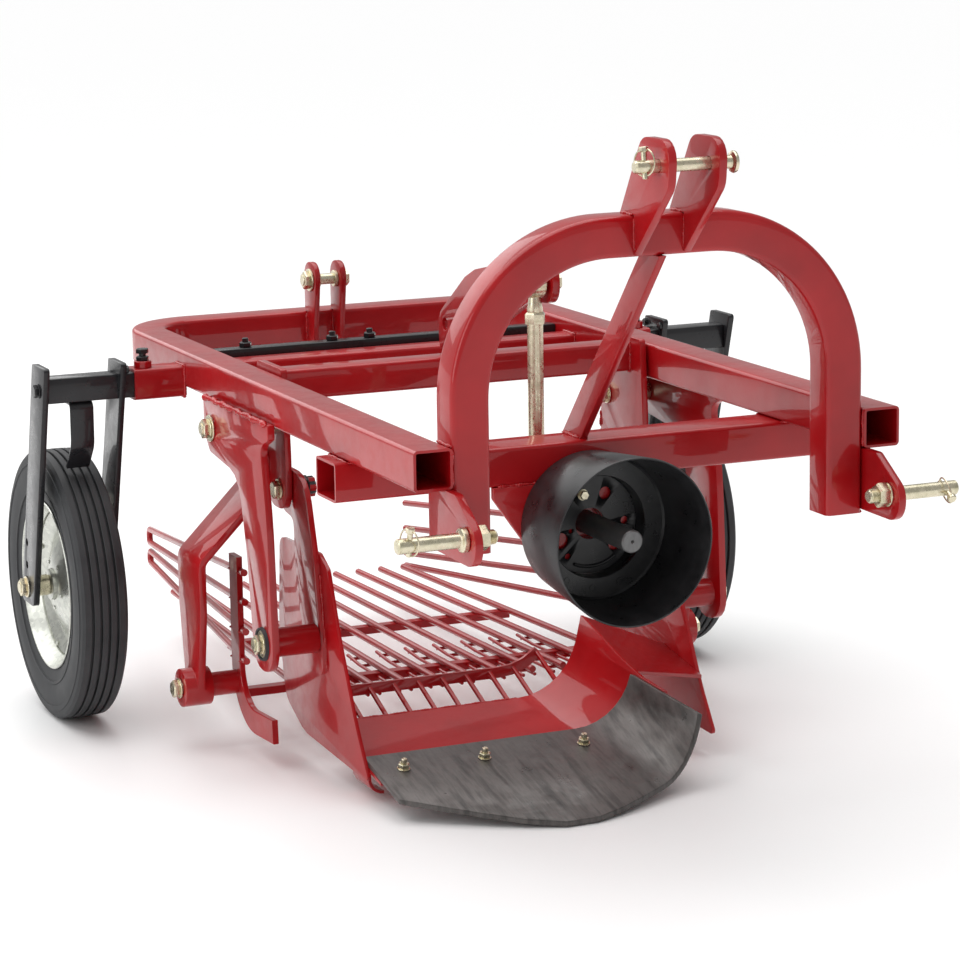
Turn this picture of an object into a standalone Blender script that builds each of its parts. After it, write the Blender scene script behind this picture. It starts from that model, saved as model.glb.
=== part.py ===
"""Single-row vibrating potato digger for a three-point linkage.

Metres, +Z up. The front, where the tractor's linkage meets the headstock, faces -Y. +X is the
machine's left. The ground is z = 0, and the point of the share and both wheels stand on it.
Lengths along Y are given from the open front ends of the frame, and the finished machine is then
moved so that the middle of its length stands over the origin.
"""

import math

import bmesh
import bpy
from mathutils import Matrix, Vector

# ---------------------------------------------------------------- driving dimensions
GAP = 0.0003  # between faces that are bolted or welded together
PIN_PLAY = 0.0004  # radial play of a pin in its hole
ROUND = 24  # facets round a bolt, boss or bore
WHEEL_ROUND = 40  # facets round a wheel

# Carrying frame: a U of square tube, open at the front
TUBE = 0.060
TUBE_WALL = 0.004
FRAME_HALF = 0.362  # centre of each side arm from the middle plane
FRAME_Z = 0.609
FRAME_REAR = 1.386  # centre of the rear bar
FRAME_CORNER = 0.110  # bend radius at the rear corners, on the tube's centre line

# Headstock arch
ARCH_FRONT = 0.003  # front face of the arch, behind the ends of the arms
ARCH_FOOT_Z = 0.481
ARCH_TOP_Z = 0.919  # centre line of the top
ARCH_BEND = 0.220  # bend radius on the centre line

# Linkage points: top link and lower links of a category 1 hitch
TOP_PIN_Y = -0.075
TOP_PIN_Z = 1.026
TOP_PIN_R = 0.0095
TOP_EAR_X = 0.0395
TOP_EAR_T = 0.012
TOP_EAR_R = 0.035
LOWER_PIN_Y = -0.070
LOWER_PIN_Z = 0.522
LOWER_PIN_R = 0.011
LOWER_PIN_REACH = 0.105
LOWER_EAR_T = 0.012
LOWER_EAR_R = 0.038

# Front cross tube, under both arms
CROSS_Y = 0.298
CROSS_DEPTH = 0.080
CROSS_HEIGHT = 0.060
CROSS_HALF = FRAME_HALF + 0.049
BRACE_W = 0.050
BRACE_T = 0.012

# Input shaft, its bearing and its guard
SHAFT_Z = 0.450
SHAFT_R = 0.0175
SHAFT_FRONT = 0.105
BEARING_PLATE_T = 0.012
BEARING_R = 0.052
BEARING_L = 0.066
GUARD_FRONT = 0.095
GUARD_RIM_R = 0.129
GUARD_BACK_R = 0.112
GUARD_WALL = 0.004
CRANK_R = 0.058
CRANK_T = 0.022
CRANK_THROW = 0.015
CRANK_PIN_R = 0.011
CRANK_PIN_L = 0.012
CRANK_CLEAR = 0.016  # the crank pin ends this far short of the rod's lower eye

# Hanger plates and the rocker that swings in them
PLATE_T = 0.012
BOLT_R = 0.010
WASHER_R = 0.023
ROCKER_Y = 0.845
ROCKER_Z = FRAME_Z - 0.072
ROCKER_TUBE = 0.050
ROCKER_TUBE_Y = 0.777
ROCKER_TUBE_Z = FRAME_Z + 0.004
ROCKER_SIDE_PLAY = 0.0055  # between each end plate and the frame
ROCKER_HALF = FRAME_HALF - TUBE / 2 - ROCKER_SIDE_PLAY  # outer face of each end plate
ROCKER_PLATE_T = 0.011
LEVER_X = 0.0115
LEVER_T = 0.012
ROD_X = -0.012
ROD_R = 0.0125
ROD_EYE_Y = 0.420
ROD_EYE_Z = 0.800
ROD_EYE_R = 0.026
STRAP_W = 0.110
STRAP_T = 0.012
STRAP_OUT = FRAME_HALF + 0.084  # centre of the strap's lower run
STRAP_KNEE_Z = 0.325
SIEVE_PIN_Y = 0.840
SIEVE_PIN_Z = 0.107

# Share: flat on the right, with a curved wall on the left that turns the crop to the right
SHARE_PIVOT_Y = 0.615
SHARE_PIVOT_Z = 0.225
SHARE_DRIVE_Y = 0.738
SHARE_DRIVE_Z = 0.447
BUSH_PLAY = 0.004  # the rubber bush round each drive bolt
SHARE_INSET = 0.0205  # from the rocker's end plates
SHARE_HALF = ROCKER_HALF - SHARE_INSET  # outer face of each side plate
SHARE_SIDE_T = 0.006
SHARE_ARM_T = 0.008
SHARE_T = 0.006
BLADE_T = 0.009
SHARE_PITCH_DEG = 11.5
SHARE_POINT_X = -0.056
SHARE_POINT_Y = 0.170
POINT_ROUND = 0.070  # how blunt the point is
SWEEP_LEFT = 0.60  # how far the edge falls back for each metre to the side
SWEEP_RIGHT = 0.76
SHARE_FRONT_Y = 0.385  # front edge of the carrier, under the blade
SHARE_JOINT_Y = 0.455
SHARE_REAR_Y = 0.600
WALL_R = 0.110  # radius of the curve from the flat into the wall
WALL_TURN_DEG = 77.0
WALL_X = 0.174  # crest of the wall at the joint
WALL_LEAN = 0.26  # how far the wall closes in for each metre to the rear
WALL_TOP_RISE = 0.002  # what the carrier stands above the blade at the crest
WALL_REAR_RISE = 0.040  # what the crest gains from the joint to the rear edge
SHELF_FRONT_Y = 0.462
SHELF_EDGE_Z = 0.127  # height of the shelf at the left side plate, at its front
SHELF_EDGE_RISE = 0.158  # what that edge gains for each metre to the rear
GRATE_LENGTH = 0.080
GRATE_PITCH = 0.043
GRATE_RISE = 0.016
LIP_R = 0.026  # rolled lip under the front of each side plate
LIP_T = 0.005
LIP_Z = 0.036

# Sieve
SIEVE_FRONT_HALF = STRAP_OUT - 0.071
SIEVE_REAR_HALF = 0.262
SIEVE_REAR_Y = 1.650
SIEVE_ROD_R = 0.0060
SIEVE_SIDE_Z = (0.150, 0.200, 0.250, 0.300)
SIEVE_LEFT_REAR_Z = (0.075, 0.100, 0.150, 0.200)
SIEVE_RIGHT_REAR_Z = (0.136, 0.158, 0.174, 0.200)  # each two rods are one hairpin
SIEVE_HAIRPIN_R = 0.010
SIEVE_BED_RODS = 11
SIEVE_BED_FRONT_Y = 0.722
SIEVE_BED_REAR_Y = 1.600
SIEVE_BED_FRONT_Z = 0.098
SIEVE_BED_REAR_Z = 0.085
SIEVE_BED_FRONT_HALF = SHARE_HALF - 0.022
SIEVE_BED_REAR_HALF = 0.235
SIEVE_FRAME_T = 0.010
SIEVE_FRAME_W = 0.040

# Rear clevis
CLEVIS_X = -0.012  # middle of the clevis
CLEVIS_HALF = 0.025  # centre of each ear from that middle
CLEVIS_EAR_T = 0.010
CLEVIS_EAR_R = 0.032
CLEVIS_PIN_RISE = 0.060  # the pin above the top of the frame

# Wheel beam, forks and wheels
BEAM_Y = 1.032
BEAM_Z = FRAME_Z - 0.019
SOCKET = 0.052
SOCKET_WALL = 0.0045
SOCKET_END = FRAME_HALF + 0.118
BEAM = 0.042
WHEEL_X = FRAME_HALF + 0.209
WHEEL_Y = 1.152
WHEEL_R = 0.232
TYRE_W = 0.088
RIM_R = 0.153
RIM_W = 0.074
HUB_R = 0.027
HUB_L = 0.062
FORK_T = 0.010
FORK_W = 0.074
FORK_OUT = WHEEL_X + 0.069  # outer face of the outer fork plate
FORK_IN = WHEEL_X - 0.073  # inner face of the inner fork plate
AXLE_R = 0.010


# ---------------------------------------------------------------- tools
def clear_scene():
    for obj in list(bpy.data.objects):
        bpy.data.objects.remove(obj, do_unlink=True)


def material(name, colour, roughness, metallic=0.0):
    made = bpy.data.materials.new(name)
    made.use_nodes = True
    shader = made.node_tree.nodes["Principled BSDF"]
    shader.inputs["Base Color"].default_value = (*colour, 1.0)
    shader.inputs["Roughness"].default_value = roughness
    shader.inputs["Metallic"].default_value = metallic
    return made


def from_bmesh(shape):
    bmesh.ops.recalc_face_normals(shape, faces=shape.faces)
    mesh = bpy.data.meshes.new("shape")
    shape.to_mesh(mesh)
    shape.free()
    obj = bpy.data.objects.new("shape", mesh)
    bpy.context.scene.collection.objects.link(obj)
    return obj


def box(x0, x1, y0, y1, z0, z1):
    shape = bmesh.new()
    bmesh.ops.create_cube(shape, size=1.0)
    size = Matrix.Diagonal((x1 - x0, y1 - y0, z1 - z0, 1.0))
    middle = Matrix.Translation(((x0 + x1) / 2, (y0 + y1) / 2, (z0 + z1) / 2))
    bmesh.ops.transform(shape, matrix=middle @ size, verts=shape.verts)
    return from_bmesh(shape)


def prism(outline, low, high, axis="X"):
    """Extrudes an outline from low to high along an axis. It is (y, z) for X and (x, z) for Y."""
    shape = bmesh.new()
    if axis == "X":
        points = [Vector((low, a, b)) for a, b in outline]
        along = Vector((high - low, 0, 0))
    elif axis == "Y":
        points = [Vector((a, low, b)) for a, b in outline]
        along = Vector((0, high - low, 0))
    else:
        points = [Vector((a, b, low)) for a, b in outline]
        along = Vector((0, 0, high - low))
    face = shape.faces.new([shape.verts.new(point) for point in points])
    grown = bmesh.ops.extrude_face_region(shape, geom=[face])
    verts = [item for item in grown["geom"] if isinstance(item, bmesh.types.BMVert)]
    bmesh.ops.translate(shape, vec=along, verts=verts)
    return from_bmesh(shape)


def cylinder(start, end, radius, facets=ROUND, end_radius=None):
    start, end = Vector(start), Vector(end)
    along = end - start
    shape = bmesh.new()
    bmesh.ops.create_cone(
        shape,
        cap_ends=True,
        segments=facets,
        radius1=radius,
        radius2=radius if end_radius is None else end_radius,
        depth=along.length,
    )
    turn = Vector((0, 0, 1)).rotation_difference(along).to_matrix().to_4x4()
    bmesh.ops.transform(shape, matrix=Matrix.Translation((start + end) / 2) @ turn, verts=shape.verts)
    return from_bmesh(shape)


def across(start_x, end_x, y, z, radius, facets=ROUND):
    """Cylinder along X."""
    return cylinder((start_x, y, z), (end_x, y, z), radius, facets)


def rounded(corners, step_deg=15.0):
    """Outline from (a, b, radius) corners, each rounded by an arc that is tangent to its sides."""
    outline = []
    count = len(corners)
    for i, (a, b, radius) in enumerate(corners):
        here = Vector((a, b))
        if radius <= 0:
            outline.append((a, b))
            continue
        back = (Vector(corners[i - 1][:2]) - here).normalized()
        ahead = (Vector(corners[(i + 1) % count][:2]) - here).normalized()
        half = back.angle(ahead) / 2
        middle = here + (back + ahead).normalized() * radius / math.sin(half)
        first = here + back * radius / math.tan(half) - middle
        last = here + ahead * radius / math.tan(half) - middle
        swing = math.atan2(first.x * last.y - first.y * last.x, first.dot(last))
        steps = max(1, round(abs(math.degrees(swing)) / step_deg))
        for k in range(steps + 1):
            turned = Matrix.Rotation(swing * k / steps, 2) @ first
            outline.append(tuple(middle + turned))
    return outline


def bent_path(corners, step_deg=15.0):
    """Open path through (point, bend radius) corners, with arcs at the bends."""
    path = [Vector(corners[0][0])]
    for before, (corner, radius), after in zip(corners, corners[1:], corners[2:]):
        here = Vector(corner)
        back = (Vector(before[0]) - here).normalized()
        ahead = (Vector(after[0]) - here).normalized()
        if radius <= 0:
            path.append(here)
            continue
        half = back.angle(ahead) / 2
        middle = here + (back + ahead).normalized() * radius / math.sin(half)
        first = here + back * radius / math.tan(half) - middle
        turn_axis = back.cross(ahead).normalized()
        swing = -(math.pi - 2 * half)
        steps = max(1, round(abs(math.degrees(swing)) / step_deg))
        for k in range(steps + 1):
            path.append(middle + Matrix.Rotation(swing * k / steps, 3, turn_axis) @ first)
    path.append(Vector(corners[-1][0]))
    return path


def ring_frames(path, side):
    """Mitred section axes along a path: the fixed side axis, and the axis across it."""
    frames = []
    for i, point in enumerate(path):
        before = (point - path[i - 1]).normalized() if i > 0 else None
        after = (path[i + 1] - point).normalized() if i < len(path) - 1 else None
        ends = [part for part in (before, after) if part is not None]
        tangent = sum(ends, Vector()).normalized()
        across = tangent.cross(side).normalized()
        stretch = 1.0 if len(ends) == 1 else 1.0 / max(0.2, tangent.dot(ends[0]))
        frames.append((point, across * stretch))
    return frames


def swept(path, side, half_side, half_across, wall=None):
    """Rectangular section along a path. With a wall, it is a tube that is open at both ends."""
    side = Vector(side)
    shape = bmesh.new()
    skins = [0.0] if wall is None else [0.0, wall]
    rings = []
    for inset in skins:
        a, b = half_side - inset, half_across - inset
        skin = []
        for point, across in ring_frames(path, side):
            corners = ((-a, -b), (a, -b), (a, b), (-a, b))
            skin.append([shape.verts.new(point + side * s + across * t) for s, t in corners])
        rings.append(skin)
    for skin in rings:
        for low, high in zip(skin, skin[1:]):
            for k in range(4):
                shape.faces.new((low[k], low[(k + 1) % 4], high[(k + 1) % 4], high[k]))
    if wall is None:
        shape.faces.new(rings[0][0])
        shape.faces.new(rings[0][-1])
    else:
        for end in (0, -1):
            outer, inner = rings[0][end], rings[1][end]
            for k in range(4):
                shape.faces.new((outer[k], outer[(k + 1) % 4], inner[(k + 1) % 4], inner[k]))
    return from_bmesh(shape)


def rod_along(path, radius, facets=8):
    """Round bar along a path, with flat ends."""
    shape = bmesh.new()
    rings = []
    up = Vector((0, 0, 1))
    for i, point in enumerate(path):
        before = (point - path[i - 1]).normalized() if i > 0 else Vector()
        after = (path[i + 1] - point).normalized() if i < len(path) - 1 else Vector()
        tangent = (before + after).normalized()
        across = tangent.cross(up)
        if across.length < 0.05:
            across = tangent.cross(Vector((1, 0, 0)))
        across.normalize()
        third = across.cross(tangent)
        ring = []
        for k in range(facets):
            angle = 2 * math.pi * k / facets
            out = across * math.cos(angle) + third * math.sin(angle)
            ring.append(shape.verts.new(point + out * radius))
        rings.append(ring)
    for low, high in zip(rings, rings[1:]):
        for k in range(facets):
            shape.faces.new((low[k], low[(k + 1) % facets], high[(k + 1) % facets], high[k]))
    shape.faces.new(rings[0])
    shape.faces.new(rings[-1])
    return from_bmesh(shape)


def turned(profile, centre, axis="X", facets=ROUND):
    """Solid of revolution from a closed (along, radius) profile that stays clear of its axis."""
    shape = bmesh.new()
    centre = Vector(centre)
    rings = []
    for k in range(facets):
        angle = 2 * math.pi * k / facets
        ring = []
        for along, radius in profile:
            a, b = radius * math.cos(angle), radius * math.sin(angle)
            offset = Vector((along, a, b)) if axis == "X" else Vector((b, along, a))
            ring.append(shape.verts.new(centre + offset))
        rings.append(ring)
    count = len(profile)
    for k in range(facets):
        low, high = rings[k], rings[(k + 1) % facets]
        for i in range(count):
            shape.faces.new((low[i], low[(i + 1) % count], high[(i + 1) % count], high[i]))
    return from_bmesh(shape)


def combine(obj, others, operation):
    """Applies a Boolean with each of the others, which are used up."""
    for other in others:
        modifier = obj.modifiers.new("combine", "BOOLEAN")
        modifier.operation = operation
        modifier.solver = "EXACT"
        modifier.object = other
        bpy.context.view_layer.update()
        graph = bpy.context.evaluated_depsgraph_get()
        mesh = bpy.data.meshes.new_from_object(obj.evaluated_get(graph))
        obj.modifiers.clear()
        obj.data = mesh
        bpy.data.objects.remove(other, do_unlink=True)
    return obj


def join(obj, *others):
    return combine(obj, others, "UNION")


def cut(obj, *others):
    return combine(obj, others, "DIFFERENCE")


def mirrored(obj):
    """Copy of an object on the other side of the middle plane."""
    shape = bmesh.new()
    shape.from_mesh(obj.data)
    bmesh.ops.transform(shape, matrix=Matrix.Scale(-1, 4, (1, 0, 0)), verts=shape.verts)
    return from_bmesh(shape)


def named(obj, name, finish, axis_empty=None, smooth=True):
    """Names and finishes an object. A moving one hangs on the empty that marks its joint's axis."""
    obj.name = name
    obj.data.name = name
    obj.data.materials.clear()
    obj.data.materials.append(finish)
    if smooth:
        obj.data.shade_smooth()
        obj.data.set_sharp_from_angle(angle=math.radians(35))
    if axis_empty is not None:
        obj.parent = axis_empty
        obj.matrix_parent_inverse = axis_empty.matrix_world.inverted()
    return obj


def pair(obj, name, finish, axis_empties=(None, None)):
    """An object made on the machine's left, and its mirrored copy on the right."""
    other = mirrored(obj)
    named(obj, name + "_left", finish, axis_empties[0])
    named(other, name + "_right", finish, axis_empties[1])


def joint_empty(name, place):
    empty = bpy.data.objects.new(name, None)
    empty.location = place
    bpy.context.scene.collection.objects.link(empty)
    bpy.context.view_layer.update()
    return empty


def hex_bolt(inner, outer, y, z, radius, head_r, head_h, nut_r=None, nut_h=0.0):
    """Bolt along X from the inner end to the outer one, with its hexagon head outside."""
    bolt = cylinder((inner, y, z), (outer, y, z), radius)
    way = 1.0 if outer > inner else -1.0
    join(bolt, cylinder((outer - way * 0.001, y, z), (outer + way * head_h, y, z), head_r, 6))
    if nut_r:
        join(bolt, cylinder((inner - way * nut_h, y, z), (inner + way * 0.001, y, z), nut_r, 6))
    return bolt


# ---------------------------------------------------------------- frame
ARM_INNER = FRAME_HALF - TUBE / 2
ARM_OUTER = FRAME_HALF + TUBE / 2
ARM_TOP = FRAME_Z + TUBE / 2
ARM_BOTTOM = FRAME_Z - TUBE / 2
ARCH_HALF = ARM_INNER - GAP - TUBE / 2
ARCH_Y = ARCH_FRONT + TUBE / 2
CROSS_TOP = ARM_BOTTOM - GAP
CROSS_Z = CROSS_TOP - CROSS_HEIGHT / 2
CROSS_BOTTOM = CROSS_TOP - CROSS_HEIGHT


def make_frame(paint):
    half = TUBE / 2
    arm_end = FRAME_REAR - FRAME_CORNER - GAP
    arm_path = [Vector((FRAME_HALF, 0, FRAME_Z)), Vector((FRAME_HALF, arm_end, FRAME_Z))]
    pair(swept(arm_path, (0, 0, 1), half, half, TUBE_WALL), "frame_arm", paint)
    corners = [
        ((FRAME_HALF, FRAME_REAR - FRAME_CORNER, FRAME_Z), 0),
        ((FRAME_HALF, FRAME_REAR, FRAME_Z), FRAME_CORNER - 0.0005),
        ((-FRAME_HALF, FRAME_REAR, FRAME_Z), FRAME_CORNER - 0.0005),
        ((-FRAME_HALF, FRAME_REAR - FRAME_CORNER, FRAME_Z), 0),
    ]
    named(swept(bent_path(corners), (0, 0, 1), half, half, TUBE_WALL), "frame_rear_bar", paint)


def make_arch(paint):
    corners = [
        ((ARCH_HALF, ARCH_Y, ARCH_FOOT_Z), 0),
        ((ARCH_HALF, ARCH_Y, ARCH_TOP_Z), ARCH_BEND),
        ((-ARCH_HALF, ARCH_Y, ARCH_TOP_Z), ARCH_BEND),
        ((-ARCH_HALF, ARCH_Y, ARCH_FOOT_Z), 0),
    ]
    half = TUBE / 2
    named(swept(bent_path(corners, 9.0), (0, 1, 0), half, half, TUBE_WALL), "headstock_arch", paint)


def make_top_hitch(paint, zinc):
    arch_top = ARCH_TOP_Z + TUBE / 2 + GAP
    arch_face = ARCH_FRONT - GAP
    ear = [
        (arch_face, ARCH_TOP_Z - TUBE / 2 + 0.003, 0),
        (arch_face, arch_top, 0),
        (ARCH_FRONT + 0.045, arch_top, 0),
        (TOP_PIN_Y + 0.052, TOP_PIN_Z + 0.038, TOP_EAR_R - 0.004),
        (TOP_PIN_Y - 0.038, TOP_PIN_Z + 0.038, TOP_EAR_R - 0.004),
        (TOP_PIN_Y - 0.030, TOP_PIN_Z - 0.030, 0.030),
    ]
    low, high = TOP_EAR_X - TOP_EAR_T / 2, TOP_EAR_X + TOP_EAR_T / 2
    plate = prism(rounded(ear), low, high)
    cut(plate, across(low - 0.01, high + 0.01, TOP_PIN_Y, TOP_PIN_Z, TOP_PIN_R + PIN_PLAY))
    pair(plate, "top_link_ear", paint)
    pin = across(-high - 0.038, high + 0.024, TOP_PIN_Y, TOP_PIN_Z, TOP_PIN_R)
    join(pin, across(high + 0.022, high + 0.029, TOP_PIN_Y, TOP_PIN_Z, 0.016))
    named(pin, "top_link_pin", zinc)


def make_lower_hitch(paint, zinc):
    inner = ARM_INNER
    outer = inner + LOWER_EAR_T
    top = ARM_BOTTOM - GAP
    ear = [
        (ARCH_Y + TUBE / 2, top, 0),
        (LOWER_PIN_Y + 0.036, top, 0.010),
        (LOWER_PIN_Y - LOWER_EAR_R + 0.003, LOWER_PIN_Z + 0.012, 0.030),
        (LOWER_PIN_Y - LOWER_EAR_R + 0.006, LOWER_PIN_Z - LOWER_EAR_R, 0.030),
        (ARCH_Y + TUBE / 2, LOWER_PIN_Z - LOWER_EAR_R + 0.002, 0.008),
    ]
    plate = prism(rounded(ear), inner, outer)
    y, z = LOWER_PIN_Y, LOWER_PIN_Z
    cut(plate, across(inner - 0.01, outer + 0.01, y, z, LOWER_PIN_R + PIN_PLAY))
    pair(plate, "lower_hitch_ear", paint)
    pin = across(inner - 0.034, outer + LOWER_PIN_REACH, y, z, LOWER_PIN_R)
    join(pin, across(outer + GAP, outer + 0.009, y, z, 0.018))
    join(pin, across(inner - 0.022, inner - GAP, y, z, 0.018, 6))
    pair(pin, "lower_hitch_pin", zinc)


def make_cross_tube(paint):
    path = [Vector((-CROSS_HALF, CROSS_Y, CROSS_Z)), Vector((CROSS_HALF, CROSS_Y, CROSS_Z))]
    tube = swept(path, (0, 0, 1), CROSS_HEIGHT / 2, CROSS_DEPTH / 2, TUBE_WALL)
    named(tube, "front_cross_tube", paint)


def make_brace(paint):
    top_z = ARCH_TOP_Z - TUBE / 2 - GAP
    back = ARCH_Y + TUBE / 2
    foot = CROSS_TOP + GAP
    rear = CROSS_Y + CROSS_DEPTH / 2
    slope = (rear - back) / (top_z - foot)
    wide = BRACE_W * math.hypot(1.0, slope)
    outline = [(back - wide + 0.004, top_z), (back, top_z), (rear, foot), (rear - wide, foot)]
    named(prism(outline, -BRACE_T / 2, BRACE_T / 2), "headstock_brace", paint)


# ---------------------------------------------------------------- input shaft
BEARING_FRONT = CROSS_Y - CROSS_DEPTH / 2
CRANK_FRONT = BEARING_FRONT + BEARING_PLATE_T + BEARING_L + 0.014
CRANK_BACK = CRANK_FRONT + CRANK_T
ROD_EYE_HALF = ROD_EYE_Y - CRANK_BACK - CRANK_PIN_L - CRANK_CLEAR


def make_bearing(paint, cast):
    top = CROSS_BOTTOM - GAP
    outline = rounded([
        (-0.157, top, 0),
        (0.157, top, 0),
        (0.157, top - 0.018, 0.006),
        (0.068, SHAFT_Z - 0.075, 0.020),
        (-0.068, SHAFT_Z - 0.075, 0.020),
        (-0.157, top - 0.018, 0.006),
    ])
    back = BEARING_FRONT + BEARING_PLATE_T
    plate = prism(outline, BEARING_FRONT, back, "Y")
    hole = SHAFT_R + 0.006
    cut(plate, cylinder((0, BEARING_FRONT - 0.01, SHAFT_Z), (0, back + 0.01, SHAFT_Z), hole))
    named(plate, "bearing_plate", paint)
    length = BEARING_L
    bore = SHAFT_R + PIN_PLAY
    profile = [(GAP, bore), (length, bore), (length, BEARING_R - 0.010), (length - 0.014, BEARING_R),
               (0.012, BEARING_R), (0.012, BEARING_R + 0.014), (GAP, BEARING_R + 0.014)]
    named(turned(profile, (0, back, SHAFT_Z), "Y"), "shaft_bearing_housing", cast)


def make_guard(plastic):
    back = BEARING_FRONT - GAP
    length = back - GUARD_FRONT
    wall = GUARD_WALL
    neck = SHAFT_R + 0.016
    profile = [
        (length, neck), (length, GUARD_BACK_R), (0.0, GUARD_RIM_R), (0.0, GUARD_RIM_R - wall),
        (length - wall, GUARD_BACK_R - wall), (length - wall, neck),
    ]
    named(turned(profile, (0, GUARD_FRONT, SHAFT_Z), "Y", 36), "drive_guard", plastic)


def make_shaft(steel, axis_empty):
    shaft = cylinder((0, SHAFT_FRONT, SHAFT_Z), (0, CRANK_FRONT + 0.004, SHAFT_Z), SHAFT_R)
    named(shaft, "input_shaft", steel, axis_empty)
    crank = cylinder((0, CRANK_FRONT + 0.004 + GAP, SHAFT_Z), (0, CRANK_BACK, SHAFT_Z), CRANK_R, 36)
    pin_x = -CRANK_THROW
    pin_end = CRANK_BACK + CRANK_PIN_L
    join(crank, cylinder((pin_x, CRANK_BACK - 0.002, SHAFT_Z), (pin_x, pin_end, SHAFT_Z), CRANK_PIN_R))
    named(crank, "crank_disc", steel, axis_empty)


# ---------------------------------------------------------------- hangers and rocker
HANGER_IN = ARM_OUTER + GAP
HANGER_OUT = HANGER_IN + PLATE_T
SHARE_ARM_OUT = SHARE_HALF + SHARE_ARM_T


def bore(y, z, radius=BOLT_R + PIN_PLAY, inner=0.2, outer=0.6):
    """Cutter for a hole along X on the machine's left."""
    return cylinder((inner, y, z), (outer, y, z), radius)


def pivot_bolt(inner, y, z):
    """Bolt from the inner end out through a hanger, with a washer and a hexagon head."""
    bolt = cylinder((inner, y, z), (HANGER_OUT + 0.006, y, z), BOLT_R)
    join(bolt, cylinder((HANGER_OUT + GAP, y, z), (HANGER_OUT + 0.005, y, z), WASHER_R))
    join(bolt, cylinder((HANGER_OUT + 0.004, y, z), (HANGER_OUT + 0.016, y, z), 0.0165, 6))
    join(bolt, cylinder((inner - 0.010, y, z), (inner + 0.001, y, z), 0.0165, 6))
    return bolt


def make_hangers(paint, zinc):
    top = ARM_BOTTOM + 0.006
    web_back = ROCKER_Y + 0.034
    web_low = ROCKER_Z - 0.046
    eye = 0.045
    outline = rounded([
        (web_back, top, 0),
        (web_back, ROCKER_Z - 0.010, 0.020),
        (web_back - 0.026, web_low + 0.006, 0.015),
        (SHARE_PIVOT_Y + 0.100, web_low - 0.010, 0.060),
        (SHARE_PIVOT_Y + 0.068, SHARE_PIVOT_Z + 0.130, 0.200),
        (SHARE_PIVOT_Y + eye, SHARE_PIVOT_Z - eye, eye * 0.9),
        (SHARE_PIVOT_Y - eye, SHARE_PIVOT_Z - eye, eye * 0.9),
        (SHARE_PIVOT_Y - 0.030, SHARE_PIVOT_Z + 0.200, 0.300),
        (SHARE_PIVOT_Y - 0.008, ROCKER_Z + 0.008, 0.020),
        (SHARE_PIVOT_Y - 0.046, ROCKER_Z + 0.024, 0.006),
        (SHARE_PIVOT_Y - 0.046, top, 0),
    ], 20.0)
    plate = prism(outline, HANGER_IN, HANGER_OUT)
    spacer_in = SHARE_ARM_OUT + 0.0015
    join(plate, across(spacer_in, HANGER_IN + 0.002, SHARE_PIVOT_Y, SHARE_PIVOT_Z, 0.0235))
    cut(plate, bore(ROCKER_Y, ROCKER_Z), bore(SHARE_PIVOT_Y, SHARE_PIVOT_Z))
    pair(plate, "hanger_plate", paint)

    inner_face = ROCKER_HALF - ROCKER_PLATE_T
    bolt = pivot_bolt(inner_face - 0.0015, ROCKER_Y, ROCKER_Z)
    spacer = across(ROCKER_HALF + 0.0015, HANGER_IN - GAP, ROCKER_Y, ROCKER_Z, 0.019)
    pair(join(bolt, spacer), "rocker_pivot_bolt", zinc)
    bolt = pivot_bolt(SHARE_HALF - SHARE_SIDE_T - 0.0015, SHARE_PIVOT_Y, SHARE_PIVOT_Z)
    pair(bolt, "share_pivot_bolt", zinc)


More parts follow.
